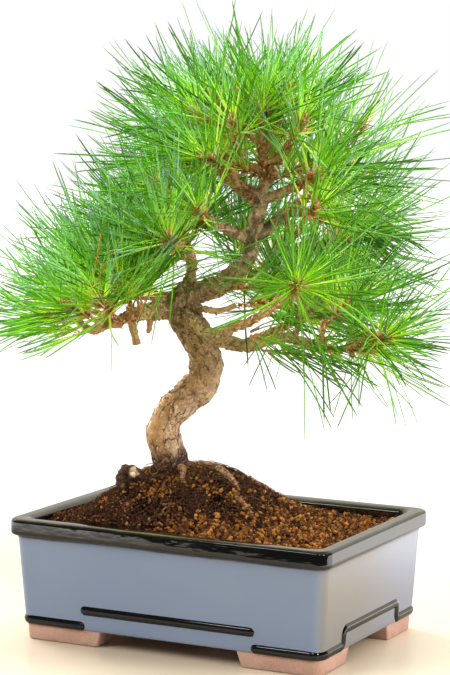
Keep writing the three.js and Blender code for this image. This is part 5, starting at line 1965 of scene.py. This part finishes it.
    def chips(self, wood: Piece) -> Piece:
        """Lays loose flakes over the old bark, most of them round the knot where the branches leave.

        Args:
            wood: The wood with its bark.

        Returns:
            The flakes as one piece.
        """
        pattern = self._chip()
        draw = np.random.default_rng(self.seed)
        points, normals = Bench.read(wood)
        age, root, damp = (Bench.kept(wood, name) for name in ("age", "root", "damp"))
        near = self.near(points, KNOT, 15)
        odds = (0.14 * age * (points[:, 2] < 0.245) + 2.4 * near) * (1 - root) * (damp < 0.05)
        count = self.flakes
        chosen = draw.choice(len(points), count, replace=False, p=odds / odds.sum())
        start, face, near = points[chosen], normals[chosen], near[chosen]
        along = unit(UP + 0.5 * draw.normal(size=(count, 3)) - face * face[:, 2:3])
        face = unit(face + (0.18 + 0.4 * near[:, None]) * draw.normal(size=(count, 3)))
        along = unit(along - face * np.sum(along * face, axis=1, keepdims=True))
        size = draw.uniform(0.75, 1.35, (count, 1)) * np.array([1.5, 2.7, 0.55]) * MM
        size *= 1 + near[:, None] * np.array([0.5, 0.1, 3.2])
        axes = np.stack([np.cross(face, along), along, face], axis=1)
        body = start[:, None] + (pattern.points[None] * size[:, None]) @ axes
        olive = np.clip(near * 0.45 + 0.35 * eased(0.17, 0.24, start[:, 2]), 0, 1)
        bright = draw.uniform(0, 1, count) < 0.55 * near
        shade = np.where(bright, 0.95, draw.normal(0.66 - 0.42 * near, 0.13 + 0.1 * near, count))
        shade = np.clip(shade, 0.35 * (1 - near), 1)
        batch = Batch()
        batch.add(pattern, body, olive[:, None], shade[:, None])
        return batch.piece("bark_flakes", 25)

    def build(self) -> list[Piece]:
        """Builds the wood with its bark and its loose flakes.

        Returns:
            The wood and the flakes.
        """
        wood = self.grown()
        self.bark(wood)
        flakes = self.chips(wood)
        Bench.modify(wood, "DECIMATE", ratio=self.kept_faces)
        return [wood, flakes]

    @staticmethod
    def dress(wood: Piece, flakes: Piece) -> None:
        """Gives the wood and the flakes their bark."""
        wood.data.materials.append(Bark().material())
        flakes.data.materials.append(BarkChip().material())


@dataclass
class Foliage:
    """The sprays: each a shoot clad in scales, a bud, and pairs of needles in their sheaths."""

    pairs: int = 52
    least: float = 50.0
    most: float = 88.0
    width: float = 1.22
    first_lean: float = 1.42
    last_lean: float = 0.26
    lift: float = 0.16
    margin: float = 0.012
    hanging: tuple[int, ...] = (41, 49, 50)
    shoot: float = 19.0
    bare_tuft: int = 12
    seed: int = 8999
    tuft_seed: int = 5000
    young_seed: int = 61

    def __post_init__(self) -> None:
        """Models the small shapes that are copied."""
        self.needle = self._needle_pattern()
        self.sheath = self._sheath_pattern()
        self.scale = self._scale_pattern()

    @staticmethod
    def _needle_pattern() -> Pattern:
        """Draws a half-round blade up in steps to a point.

        Returns:
            The blade, standing from z = 0 to 1, one unit wide.
        """
        bpy.ops.mesh.primitive_cylinder_add(vertices=4, radius=0.5, depth=0.2, location=(0, 0, 0.1))
        blade = Bench.named("blade")
        for vertex in blade.data.vertices:
            if vertex.co.y < -0.4:
                vertex.co.y = -0.12
        return Pattern.drawn_up(blade, ((0.42, 1.0), (0.64, 0.97), (0.84, 0.86), (0.95, 0.6), (1.0, 0.08)))

    @staticmethod
    def _sheath_pattern() -> Pattern:
        """Returns a short tapered tube, standing from z = 0 to 1, one unit wide at its foot."""
        bpy.ops.mesh.primitive_cone_add(vertices=5, radius1=0.5, radius2=0.36, depth=1, location=(0, 0, 0.5))
        return Pattern.of(Bench.named("sheath"))

    @staticmethod
    def _scale_pattern() -> Pattern:
        """Flattens a four-sided spike and bends its tip outwards.

        Returns:
            The scale, standing from z = 0 to 1, one unit wide.
        """
        bpy.ops.mesh.primitive_cone_add(vertices=4, radius1=0.5, radius2=0.12, depth=1, location=(0, 0, 0.5))
        spike = Bench.named("spike")
        for vertex in spike.data.vertices:
            vertex.co.y = vertex.co.y * 0.5 + 0.25 * vertex.co.z
        return Pattern.of(spike)

    def _hang(self, twig: Twig) -> float:
        """Returns how steeply a spray's needles may point down: 0 is level and 1 is straight down."""
        low = twig.branch == "left_low"
        if twig.loose or twig.number in self.hanging:
            return 0.3 if low else 1.0
        return 0.12 + 0.3 * twig.facing if low else mixed(0.24, 1.0, twig.facing)

    def _heads(self, twig: Twig, draw: np.random.Generator) -> tuple[Array, Array, Array]:
        """Sets out a spray's pairs in a spiral up the shoot.

        Args:
            twig: The spray's twig.
            draw: The spray's own numbers.

        Returns:
            The foot, the heading and the share up the shoot of each pair.
        """
        side, other = (axis[0] for axis in cross_axes(twig.way[None]))
        count = twig.pairs or round(self.pairs * FULLNESS.get(twig.number, (1.0, 1.0))[0])
        share = (np.arange(count) + 0.5) / count
        turn = np.arange(count) * GOLDEN + draw.normal(0, 0.4, count)
        out = np.cos(turn)[:, None] * side + np.sin(turn)[:, None] * other
        lean = mixed(self.first_lean, self.last_lean, share**1.05) + draw.normal(0, 0.2, count)
        lean *= 0.55 if twig.loose else 1.0
        lift = 0.0 if twig.loose else self.lift
        ahead = twig.way * np.cos(lean)[:, None] + out * np.sin(lean)[:, None] + UP * lift
        ahead = unit(ahead + 0.07 * draw.normal(size=ahead.shape))
        ahead[:, 2] = np.maximum(ahead[:, 2], -self._hang(twig))
        rise = mixed(4.0, 21.5, share) * (0.5 if twig.loose else 1.0)
        radius = mixed(1.5, 1.0, share)
        feet = twig.start + twig.way * (rise * MM)[:, None] + out * (radius * 0.7 * MM)[:, None]
        return feet, unit(ahead), share

    def _within(self, feet: Array, ways: Array, lengths: Array, bends: Array) -> Array:
        """Shortens what would reach out of the solid model's box.

        Args:
            feet: Where each needle starts.
            ways: Its heading.
            lengths: Its length in metres.
            bends: How far its tip is carried off the straight.

        Returns:
            The lengths that stay inside.
        """
        low, high = (np.array(corner) for corner in CAD_BOUNDS)
        low, high = low - self.margin * (high - low), high + self.margin * (high - low)
        low[2] = 0.1
        share = np.ones(len(lengths))
        tips = feet + ways * lengths[:, None] + bends
        for axis in range(3):
            run = tips[:, axis] - feet[:, axis]
            room = np.where(run > 0, high[axis] - feet[:, axis], low[axis] - feet[:, axis])
            share = np.minimum(share, np.where(np.abs(run) > 1e-6, room / np.where(run == 0, 1, run), 1))
        return lengths * np.clip(share, 0.3, 1.0)

    def _hides(self, feet: Array, ways: Array, draw: np.random.Generator) -> Array:
        """Picks most of the needles that cross in front of the trunk, the leader and the branch beside it.

        Args:
            feet: Where each pair starts.
            ways: Its heading.
            draw: The spray's own numbers.

        Returns:
            Whether each is to be left out.
        """
        steps = np.linspace(0.1, 1, 9) * 0.8 * self.most * MM
        spots = feet[:, None] + ways[:, None] * steps[None, :, None]
        axes = turned(np.eye(3))
        across, back, up = np.moveaxis((spots - CENTRE) / MM @ axes.T, 2, 0)
        hidden = np.zeros(len(feet), bool)
        trunk, leader = (TRUNK_SEEN, up, across, 12.0, 1.0), (LEADER_SEEN, up, across, 5.0, 0.75)
        for rows, level, gap, reach, odds in (trunk, leader, (BRANCH_SEEN, across, up, 5.0, 0.5)):
            order, middle, depth = (np.array(column, float) for column in zip(*rows))
            inside = (level > order[0]) & (level < order[-1]) & (back < np.interp(level, order, depth) - 2)
            crosses = inside & (np.abs(gap - np.interp(level, order, middle)) < reach)
            hidden |= crosses.any(axis=1) & (draw.uniform(0, 1, len(feet)) < odds)
        return hidden

    def needles(self, twig: Twig, batch: Batch, draw: np.random.Generator) -> None:
        """Adds a spray's needles and sheaths.

        Args:
            twig: The spray's twig.
            batch: Where they go.
            draw: The spray's own numbers.
        """
        feet, ahead, share = self._heads(twig, draw)
        seen = ~self._hides(feet, ahead, draw)
        feet, ahead, share = feet[seen], ahead[seen], share[seen]
        count = len(share)
        loose = twig.loose
        apart = unit(np.cross(ahead, draw.normal(size=ahead.shape)))
        length = mixed(self.least, self.most, draw.uniform(0, 1, count) ** 1.5) * MM
        length *= mixed(1.0, 0.84, share**2)
        upward = eased(0.45, 1.0, ahead[:, 2]) * eased(0.32, 0.36, feet[:, 2])
        length *= 1 - 0.22 * upward * (draw.uniform(0, 1, count) < 0.8)
        length *= FULLNESS.get(twig.number, (1.0, 1.0))[1]
        length *= 0.66 if loose else 1.0
        weak = 0.3 if loose else 0.14 if twig.branch in LOOSE_BRANCHES else 0.02
        limp = (draw.uniform(0, 1, count) < weak) & (share < 0.7)
        # The shade mark is each pair's own tone plus painted light: needles pointing up, pairs on the left and
        # sprays facing the front are made brighter; loose tufts are darker.
        shade = draw.normal(0.40, 0.27, count) + draw.normal(0, 0.11) + 0.1 * share + 0.22 * ahead[:, 2]
        left = feet @ turned([(1, 0, 0)])[0] < -0.045
        shade = np.minimum(np.clip(shade, 0.02, 0.97) + 0.12 * left, 0.97)
        shade = np.clip(shade * (0.75 if loose else 1.0) + 0.3 * max(0.0, twig.facing - 0.3), 0, 0.97)
        shade = np.where((share < 0.2) & (draw.uniform(0, 1, count) < 0.006), 1.0, shade)
        sheath = draw.uniform(5.0, 9.0, count) * MM
        for twin in (-1, 1):
            spread = draw.uniform(0.02, 0.12, count) * twin
            way = unit(ahead + apart * spread[:, None])
            sway = 0.085 * draw.normal(size=way.shape) + 0.02 * UP
            bends = np.where(limp[:, None], 0.5 * sway - 0.36 * UP, sway) * length[:, None]
            foot = feet + ahead * 1.0 * MM + apart * (0.32 * twin * MM)
            reach = self._within(foot, way, length * draw.uniform(0.96, 1.0, count), bends)
            bends = bends * (reach / length)[:, None]
            width = self.width * (1.25 if loose else 1.0) * draw.uniform(0.85, 1.08, count) * MM
            sizes = np.stack([width, width * 0.8, reach], axis=1)
            points = self.needle.laid(foot, way, np.cross(way, apart * -twin), sizes, bends)
            tone = np.where(shade > 0.98, 1.0, np.clip(shade + draw.normal(0, 0.03, count), 0.0, 0.97))
            batch.add(self.needle, points, self.needle.points[:, 2], tone[:, None])
        sizes = np.stack([np.full(count, 2.1 * MM), np.full(count, 1.8 * MM), sheath], axis=1)
        points = self.sheath.laid(feet - ahead * 0.3 * MM, ahead, apart, sizes)
        batch.add(self.sheath, points, 0.35 + 0.4 * self.sheath.points[:, 2], shade[:, None], slot=1)

    def scales(self, twig: Twig, batch: Batch, draw: np.random.Generator) -> None:
        """Adds the scales that clad the twig's end and the shoot, and those of the buds at its tip.

        Args:
            twig: The spray's twig.
            batch: Where they go.
            draw: The spray's own numbers.
        """
        line = twig.line
        reach = np.linalg.norm(line.at(0.0)[0] - twig.start) / MM
        clad = min(34.0, 0.85 * reach)
        rise = np.linspace(-clad, self.shoot, int((clad + self.shoot) / 0.95))
        shares = np.clip(1 + rise / max(reach, 1.0), 0.0, 1.0)
        step = 0.03
        near = np.maximum(shares - step, 0.0)
        along = unit(line.at(np.minimum(near + step, 1.0)) - line.at(near - step))
        on_shoot = rise[:, None] > 0
        way = unit(np.where(on_shoot, twig.way, along))
        up_shoot = twig.start + twig.way * np.maximum(rise, 0)[:, None] * MM
        centre = np.where(on_shoot, up_shoot, line.at(shares))
        shoot = mixed(1.5, 1.1, np.clip(rise / self.shoot, 0, 1))
        radius = np.where(rise > 0, shoot, line.radius(shares) / MM)
        self._clad(batch, centre, way, radius * 0.8, (2.6, 1.0, 4.4), 0.3, draw)
        self._bud(batch, twig.start + twig.way * 17.5 * MM, twig.way, (2.5, 8.5), draw)
        side, other = (axis[0] for axis in cross_axes(twig.way[None]))
        for index in range(int(draw.integers(1, 4))):
            turn = draw.uniform(0, 6.28) + index * 2.1
            out = math.cos(turn) * side + math.sin(turn) * other
            foot = twig.start + twig.way * 17.0 * MM + out * 1.3 * MM
            self._bud(batch, foot, unit(twig.way + 0.55 * out), (1.6, 5.5), draw)

    def _clad(
        self,
        batch: Batch,
        centres: Array,
        ways: Array,
        radii: Array,
        size: Row,
        flare: float,
        draw: np.random.Generator,
    ) -> None:
        """Lays scales in a spiral on a rod.

        Args:
            batch: Where they go.
            centres: Points up the rod's middle.
            ways: The rod's direction at each.
            radii: The rod's radius at each, in millimetres.
            size: A scale's width, thickness and length in millimetres.
            flare: How far the scales lean out.
            draw: The spray's own numbers.
        """
        count = len(centres)
        side, other = cross_axes(ways)
        turn = np.arange(count) * GOLDEN
        out = np.cos(turn)[:, None] * side + np.sin(turn)[:, None] * other
        lean = unit(ways + out * (flare + 0.08 * draw.normal(size=count))[:, None])
        sizes = np.array(size) * MM * draw.uniform(0.8, 1.15, (count, 1))
        points = self.scale.laid(centres + out * (radii * MM)[:, None], lean, -np.cross(ways, out), sizes)
        tone = np.clip(draw.normal(0.5, 0.22, count), 0, 1)
        batch.add(self.scale, points, self.scale.points[:, 2], tone[:, None], slot=1)

    def _bud(self, batch: Batch, foot: Array, way: Array, size: Row, draw: np.random.Generator) -> None:
        """Adds a bud: scales that close over each other to a point.

        Args:
            batch: Where it goes.
            foot: Where the bud starts.
            way: Its direction.
            size: Its greatest radius and its length in millimetres.
            draw: The spray's own numbers.
        """
        radius, length = size
        share = np.linspace(0, 0.92, 22)
        girth = radius * np.sin(np.pi * (0.28 + 0.7 * share)) ** 0.8 * 0.62
        centres = foot + way * (share * length * MM)[:, None]
        self._clad(batch, centres, np.repeat(way[None], len(share), 0), girth, (2.0, 0.9, 3.4), 0.05, draw)

    def tufts(self) -> Piece:
        """Builds the loose tufts that leave the limbs themselves.

        Returns:
            The tufts as one piece.
        """
        batch = Batch()
        for index, (branch, share, azimuth, rise, pairs) in enumerate(TUFTS):
            draw = np.random.default_rng(self.tuft_seed + index)
            way = heading(azimuth, rise)
            foot = Route.limb(BRANCHES[branch]).at(share)[0]
            start = foot + 8 * MM * way
            line = Route(np.array([foot, foot + 4 * MM * way, start]), [1.6 * MM, 1.3 * MM, 1.1 * MM])
            twig = Twig(0, branch, start, way, line, pairs)
            self.needles(twig, batch, draw)
            if pairs > self.bare_tuft:
                self.scales(twig, batch, draw)
        return batch.piece("needles_loose")

    def young_wood(self) -> Piece:
        """Clads the thin ends of the limbs in the scales of past years' shoots.

        Returns:
            The scales as one piece.
        """
        batch = Batch()
        draw = np.random.default_rng(self.young_seed)
        for name, rows in BRANCHES.items():
            if name.endswith("stub") or name == "side_shoot":
                continue
            limb = Route.limb(rows)
            shares = limb.even(0.7 * MM)
            shares = shares[limb.radius(shares) < 3.6 * MM]
            if len(shares) < 3:
                continue
            centres = limb.at(shares)
            ways = unit(np.gradient(centres, axis=0))
            size, stout = ((3.4, 1.3, 4.8), 1.05) if name == "leader" else ((2.6, 0.9, 3.9), 0.84)
            self._clad(batch, centres, ways, limb.radius(shares) / MM * stout, size, 0.4, draw)
        return batch.piece("young_wood_scales")

    def spray(self, twig: Twig) -> Piece:
        """Builds one spray.

        Args:
            twig: The spray's twig.

        Returns:
            The spray as one piece.
        """
        draw = np.random.default_rng(self.seed + twig.number)
        batch = Batch()
        self.needles(twig, batch, draw)
        self.scales(twig, batch, draw)
        return batch.piece(f"needles_{twig.number:02d}")

    @staticmethod
    def dress(sprays: Sequence[Piece]) -> None:
        """Gives the sprays their needles' green and their scales' orange-brown."""
        needle, scale = Needle().material(), ShootScale().material()
        for spray in sprays:
            spray.data.materials.append(needle)
            spray.data.materials.append(scale)


@dataclass
class Studio:
    """The floor, the light and the camera, none of which belongs to the tree or its pot."""

    eye: Row = (723.6, -1390.6, 392.4)
    yaw: float = 27.4
    pitch: float = -6.8
    roll: float = 0.19
    lens: float = 123.73
    floor_colour: Colour = (0.56, 0.475, 0.355)
    floor_side: float = 6.0
    floor_reach: float = 0.34

    def camera(self) -> None:
        """Sets the camera up where the photograph was taken from."""
        data = bpy.data.cameras.new("camera")
        data.lens = self.lens
        data.sensor_width = 36.0
        data.clip_start, data.clip_end = 0.05, 30.0
        camera = Bench.linked("camera", data)
        yaw, pitch = math.radians(self.yaw), math.radians(self.pitch)
        ahead = Vector((-math.sin(yaw) * math.cos(pitch), math.cos(yaw) * math.cos(pitch), math.sin(pitch)))
        camera.location = placed([self.eye])[0]
        camera.rotation_mode = "QUATERNION"
        level = ahead.to_track_quat("-Z", "Y")
        rolled = Matrix.Rotation(math.radians(self.roll), 3, "Z").to_quaternion()
        camera.rotation_quaternion = level @ rolled
        bpy.context.scene.camera = camera

    def floor(self) -> None:
        """Lays a pale table that ends in front of the pot, with a painted shadow towards its left, and fades
        into the white room behind it.
        """
        yaw = math.radians(self.yaw)
        ahead = Vector((-math.sin(yaw), math.cos(yaw), 0))
        middle = ahead * (self.floor_side / 2 - self.floor_reach)
        bpy.ops.mesh.primitive_plane_add(size=self.floor_side, location=middle, rotation=(0, 0, yaw))
        floor = Bench.named("floor")
        made = bpy.data.materials.new("floor")
        sheet = Sheet.of(made)
        place = sheet.place()
        from_pot = sheet.vector("SUBTRACT", place, (-0.10, -0.10, 0.0))
        fade = sheet.span(sheet.vector("LENGTH", from_pot), 0.2, 0.5)
        aside = sheet.vector("DOT_PRODUCT", place, (ahead.y, -ahead.x, 0))
        # Painted shadow: the floor darkens in patches towards the left.
        left = sheet.times(sheet.span(aside, 0.12, -0.2), sheet.mottle(place, 5.0, 0.0, 0.3))
        warm = sheet.mix(left, self.floor_colour, tuple(0.6 * part for part in self.floor_colour))
        rays = sheet.add("ShaderNodeLightPath").outputs
        near = sheet.mix(sheet.times(rays["Is Glossy Ray"], 0.75), warm, (0.02, 0.02, 0.02))
        stops = ((0.0, (0.0, 0.0, 0.0)), (0.45, (0.5, 0.41, 0.29)), (0.75, (1.0, 0.97, 0.95)))
        lit = sheet.ramp(fade, *stops, (1.0, (1.8, 1.75, 1.7)))
        seen = sheet.ramp(fade, *stops, (1.0, (1.0, 1.0, 1.0)))
        sheet.feed(
            Base_Color=sheet.mix(fade, near, (0.0, 0.0, 0.0)),
            Roughness=0.25,
            Emission_Color=sheet.mix(rays["Is Camera Ray"], lit, seen),
            Emission_Strength=1.0,
        )
        floor.data.materials.append(made)

    @staticmethod
    def lamp(name: str, at: Row, size: Row, power: float, colour: Colour, mirrored: bool = False) -> None:
        """Hangs a soft panel of light that points at the tree.

        Args:
            name: The panel's name.
            at: Where it hangs, in millimetres from the pot's centre line.
            size: Its width and height in metres.
            power: Its power in watts.
            colour: Its light.
            mirrored: Whether it shows in glossy surfaces.
        """
        data = bpy.data.lights.new(name, "AREA")
        data.shape = "RECTANGLE"
        data.size, data.size_y = size
        data.energy = power
        data.color = colour
        lamp = Bench.linked(name, data)
        lamp.location = placed([at])[0]
        aim = Vector(placed([(0, 0, 160)])[0]) - lamp.location
        lamp.rotation_mode = "QUATERNION"
        lamp.rotation_quaternion = aim.to_track_quat("-Z", "Y")
        lamp.visible_camera = False
        lamp.visible_glossy = mirrored
        lamp.visible_diffuse = not mirrored

    def room(self) -> None:
        """Fills the room with white light, and keeps the part behind the camera dark in mirrored surfaces."""
        world = bpy.data.worlds.new("room")
        bpy.context.scene.world = world
        sheet = Sheet.of(world)
        yaw = math.radians(self.yaw)
        way = sheet.add("ShaderNodeTexCoord").outputs["Generated"]
        towards = sheet.vector("DOT_PRODUCT", way, (-math.sin(yaw), math.cos(yaw), 0.35))
        soft = sheet.span(towards, -0.8, 0.7, 0.4, 1.6)
        mirrored = sheet.span(towards, 0.36, 0.6, 0.02, 0.88)
        rays = sheet.add("ShaderNodeLightPath").outputs
        glossy, camera = rays["Is Glossy Ray"], rays["Is Camera Ray"]
        strength = sheet.add("ShaderNodeMix", {0: glossy, 2: soft, 3: mirrored}).outputs[0]
        strength = sheet.add("ShaderNodeMix", {0: camera, 2: strength, 3: 1.0}).outputs[0]
        sheet.feed(Strength=strength, Color=sheet.mix(glossy, (1.0, 1.0, 1.0), (1.0, 0.94, 0.82)))

    def build(self) -> None:
        """Sets up the whole studio."""
        self.camera()
        self.floor()
        self.room()
        self.lamp("key", (-900, -1300, 1300), (0.9, 0.9), 36.0, (1.0, 0.97, 0.93))
        self.lamp("right", (1500, -100, 700), (0.8, 1.2), 33.0, (1.0, 0.96, 0.93))
        self.lamp("left", (-1400, 500, 700), (0.8, 1.2), 66.0, (1.0, 0.98, 0.96))
        self.lamp("top", (0, 300, 1700), (0.8, 0.8), 28.0, (1.0, 1.0, 1.0))
        self.lamp("window", (-600, -1500, 1100), (0.5, 0.12), 1.6, (1.0, 1.0, 1.0), mirrored=True)
        self.lamp("spark", (1425, -950, 900), (0.3, 0.3), 3.6, (0.95, 0.97, 1.0), mirrored=True)
        self.lamp("pane", (700, -1900, 1500), (0.1, 0.5), 2.2, (1.0, 1.0, 1.0), mirrored=True)
        bpy.context.scene.view_settings.view_transform = "Standard"
        bpy.context.scene.view_settings.look = "None"


def seat(piece: Piece, slot: str, *nodes: str) -> None:
    """Lets a piece ride on the object and stand for its solids.

    Args:
        piece: The finished piece.
        slot: The name of its material slot; not used.
        nodes: The solids it stands for.
    """
    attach(piece, "root")
    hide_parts(*nodes)
    triangles = sum(len(face.vertices) - 2 for face in piece.data.polygons)
    LOG.info("%s: %d triangles for %s", piece.name, triangles, ", ".join(nodes))


def main() -> None:
    """Builds every sub-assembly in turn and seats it."""
    line = "%(relativeCreated)6.0f ms %(message)s"
    logging.basicConfig(level=logging.INFO, format=line, stream=sys.stdout)
    pot = Pot()
    pot_pieces = pot.build()
    pot.dress(*pot_pieces)
    for piece in pot_pieces:
        seat(piece, "glaze", "pot")
    plastic = ScreenPlastic().material()
    for name, sign in (("drain_screen_left", -1), ("drain_screen_right", 1)):
        screen = DrainScreen("screen_" + name.removeprefix("drain_screen_"), sign).build()
        screen.data.materials.append(plastic)
        seat(screen, "screen", name)
    soil = Soil()
    soil_pieces = soil.build()
    soil.dress(soil_pieces)
    for piece in soil_pieces:
        seat(piece, "soil", "soil")
    tree = Tree()
    tree_pieces = tree.build()
    tree.dress(*tree_pieces)
    for piece in tree_pieces:
        seat(piece, "bark", "tree")
    foliage = Foliage()
    twigs = tree.twigs()
    sprays = [foliage.spray(twig) for twig in twigs]
    extra = [foliage.tufts(), foliage.young_wood()]
    foliage.dress(sprays + extra)
    for spray, twig in zip(sprays, twigs):
        seat(spray, "needles", twig.name)
    seat(extra[0], "needles", "spray_50")
    seat(extra[1], "bark", "tree")
    Studio().build()


if __name__ == "__main__":
    main()
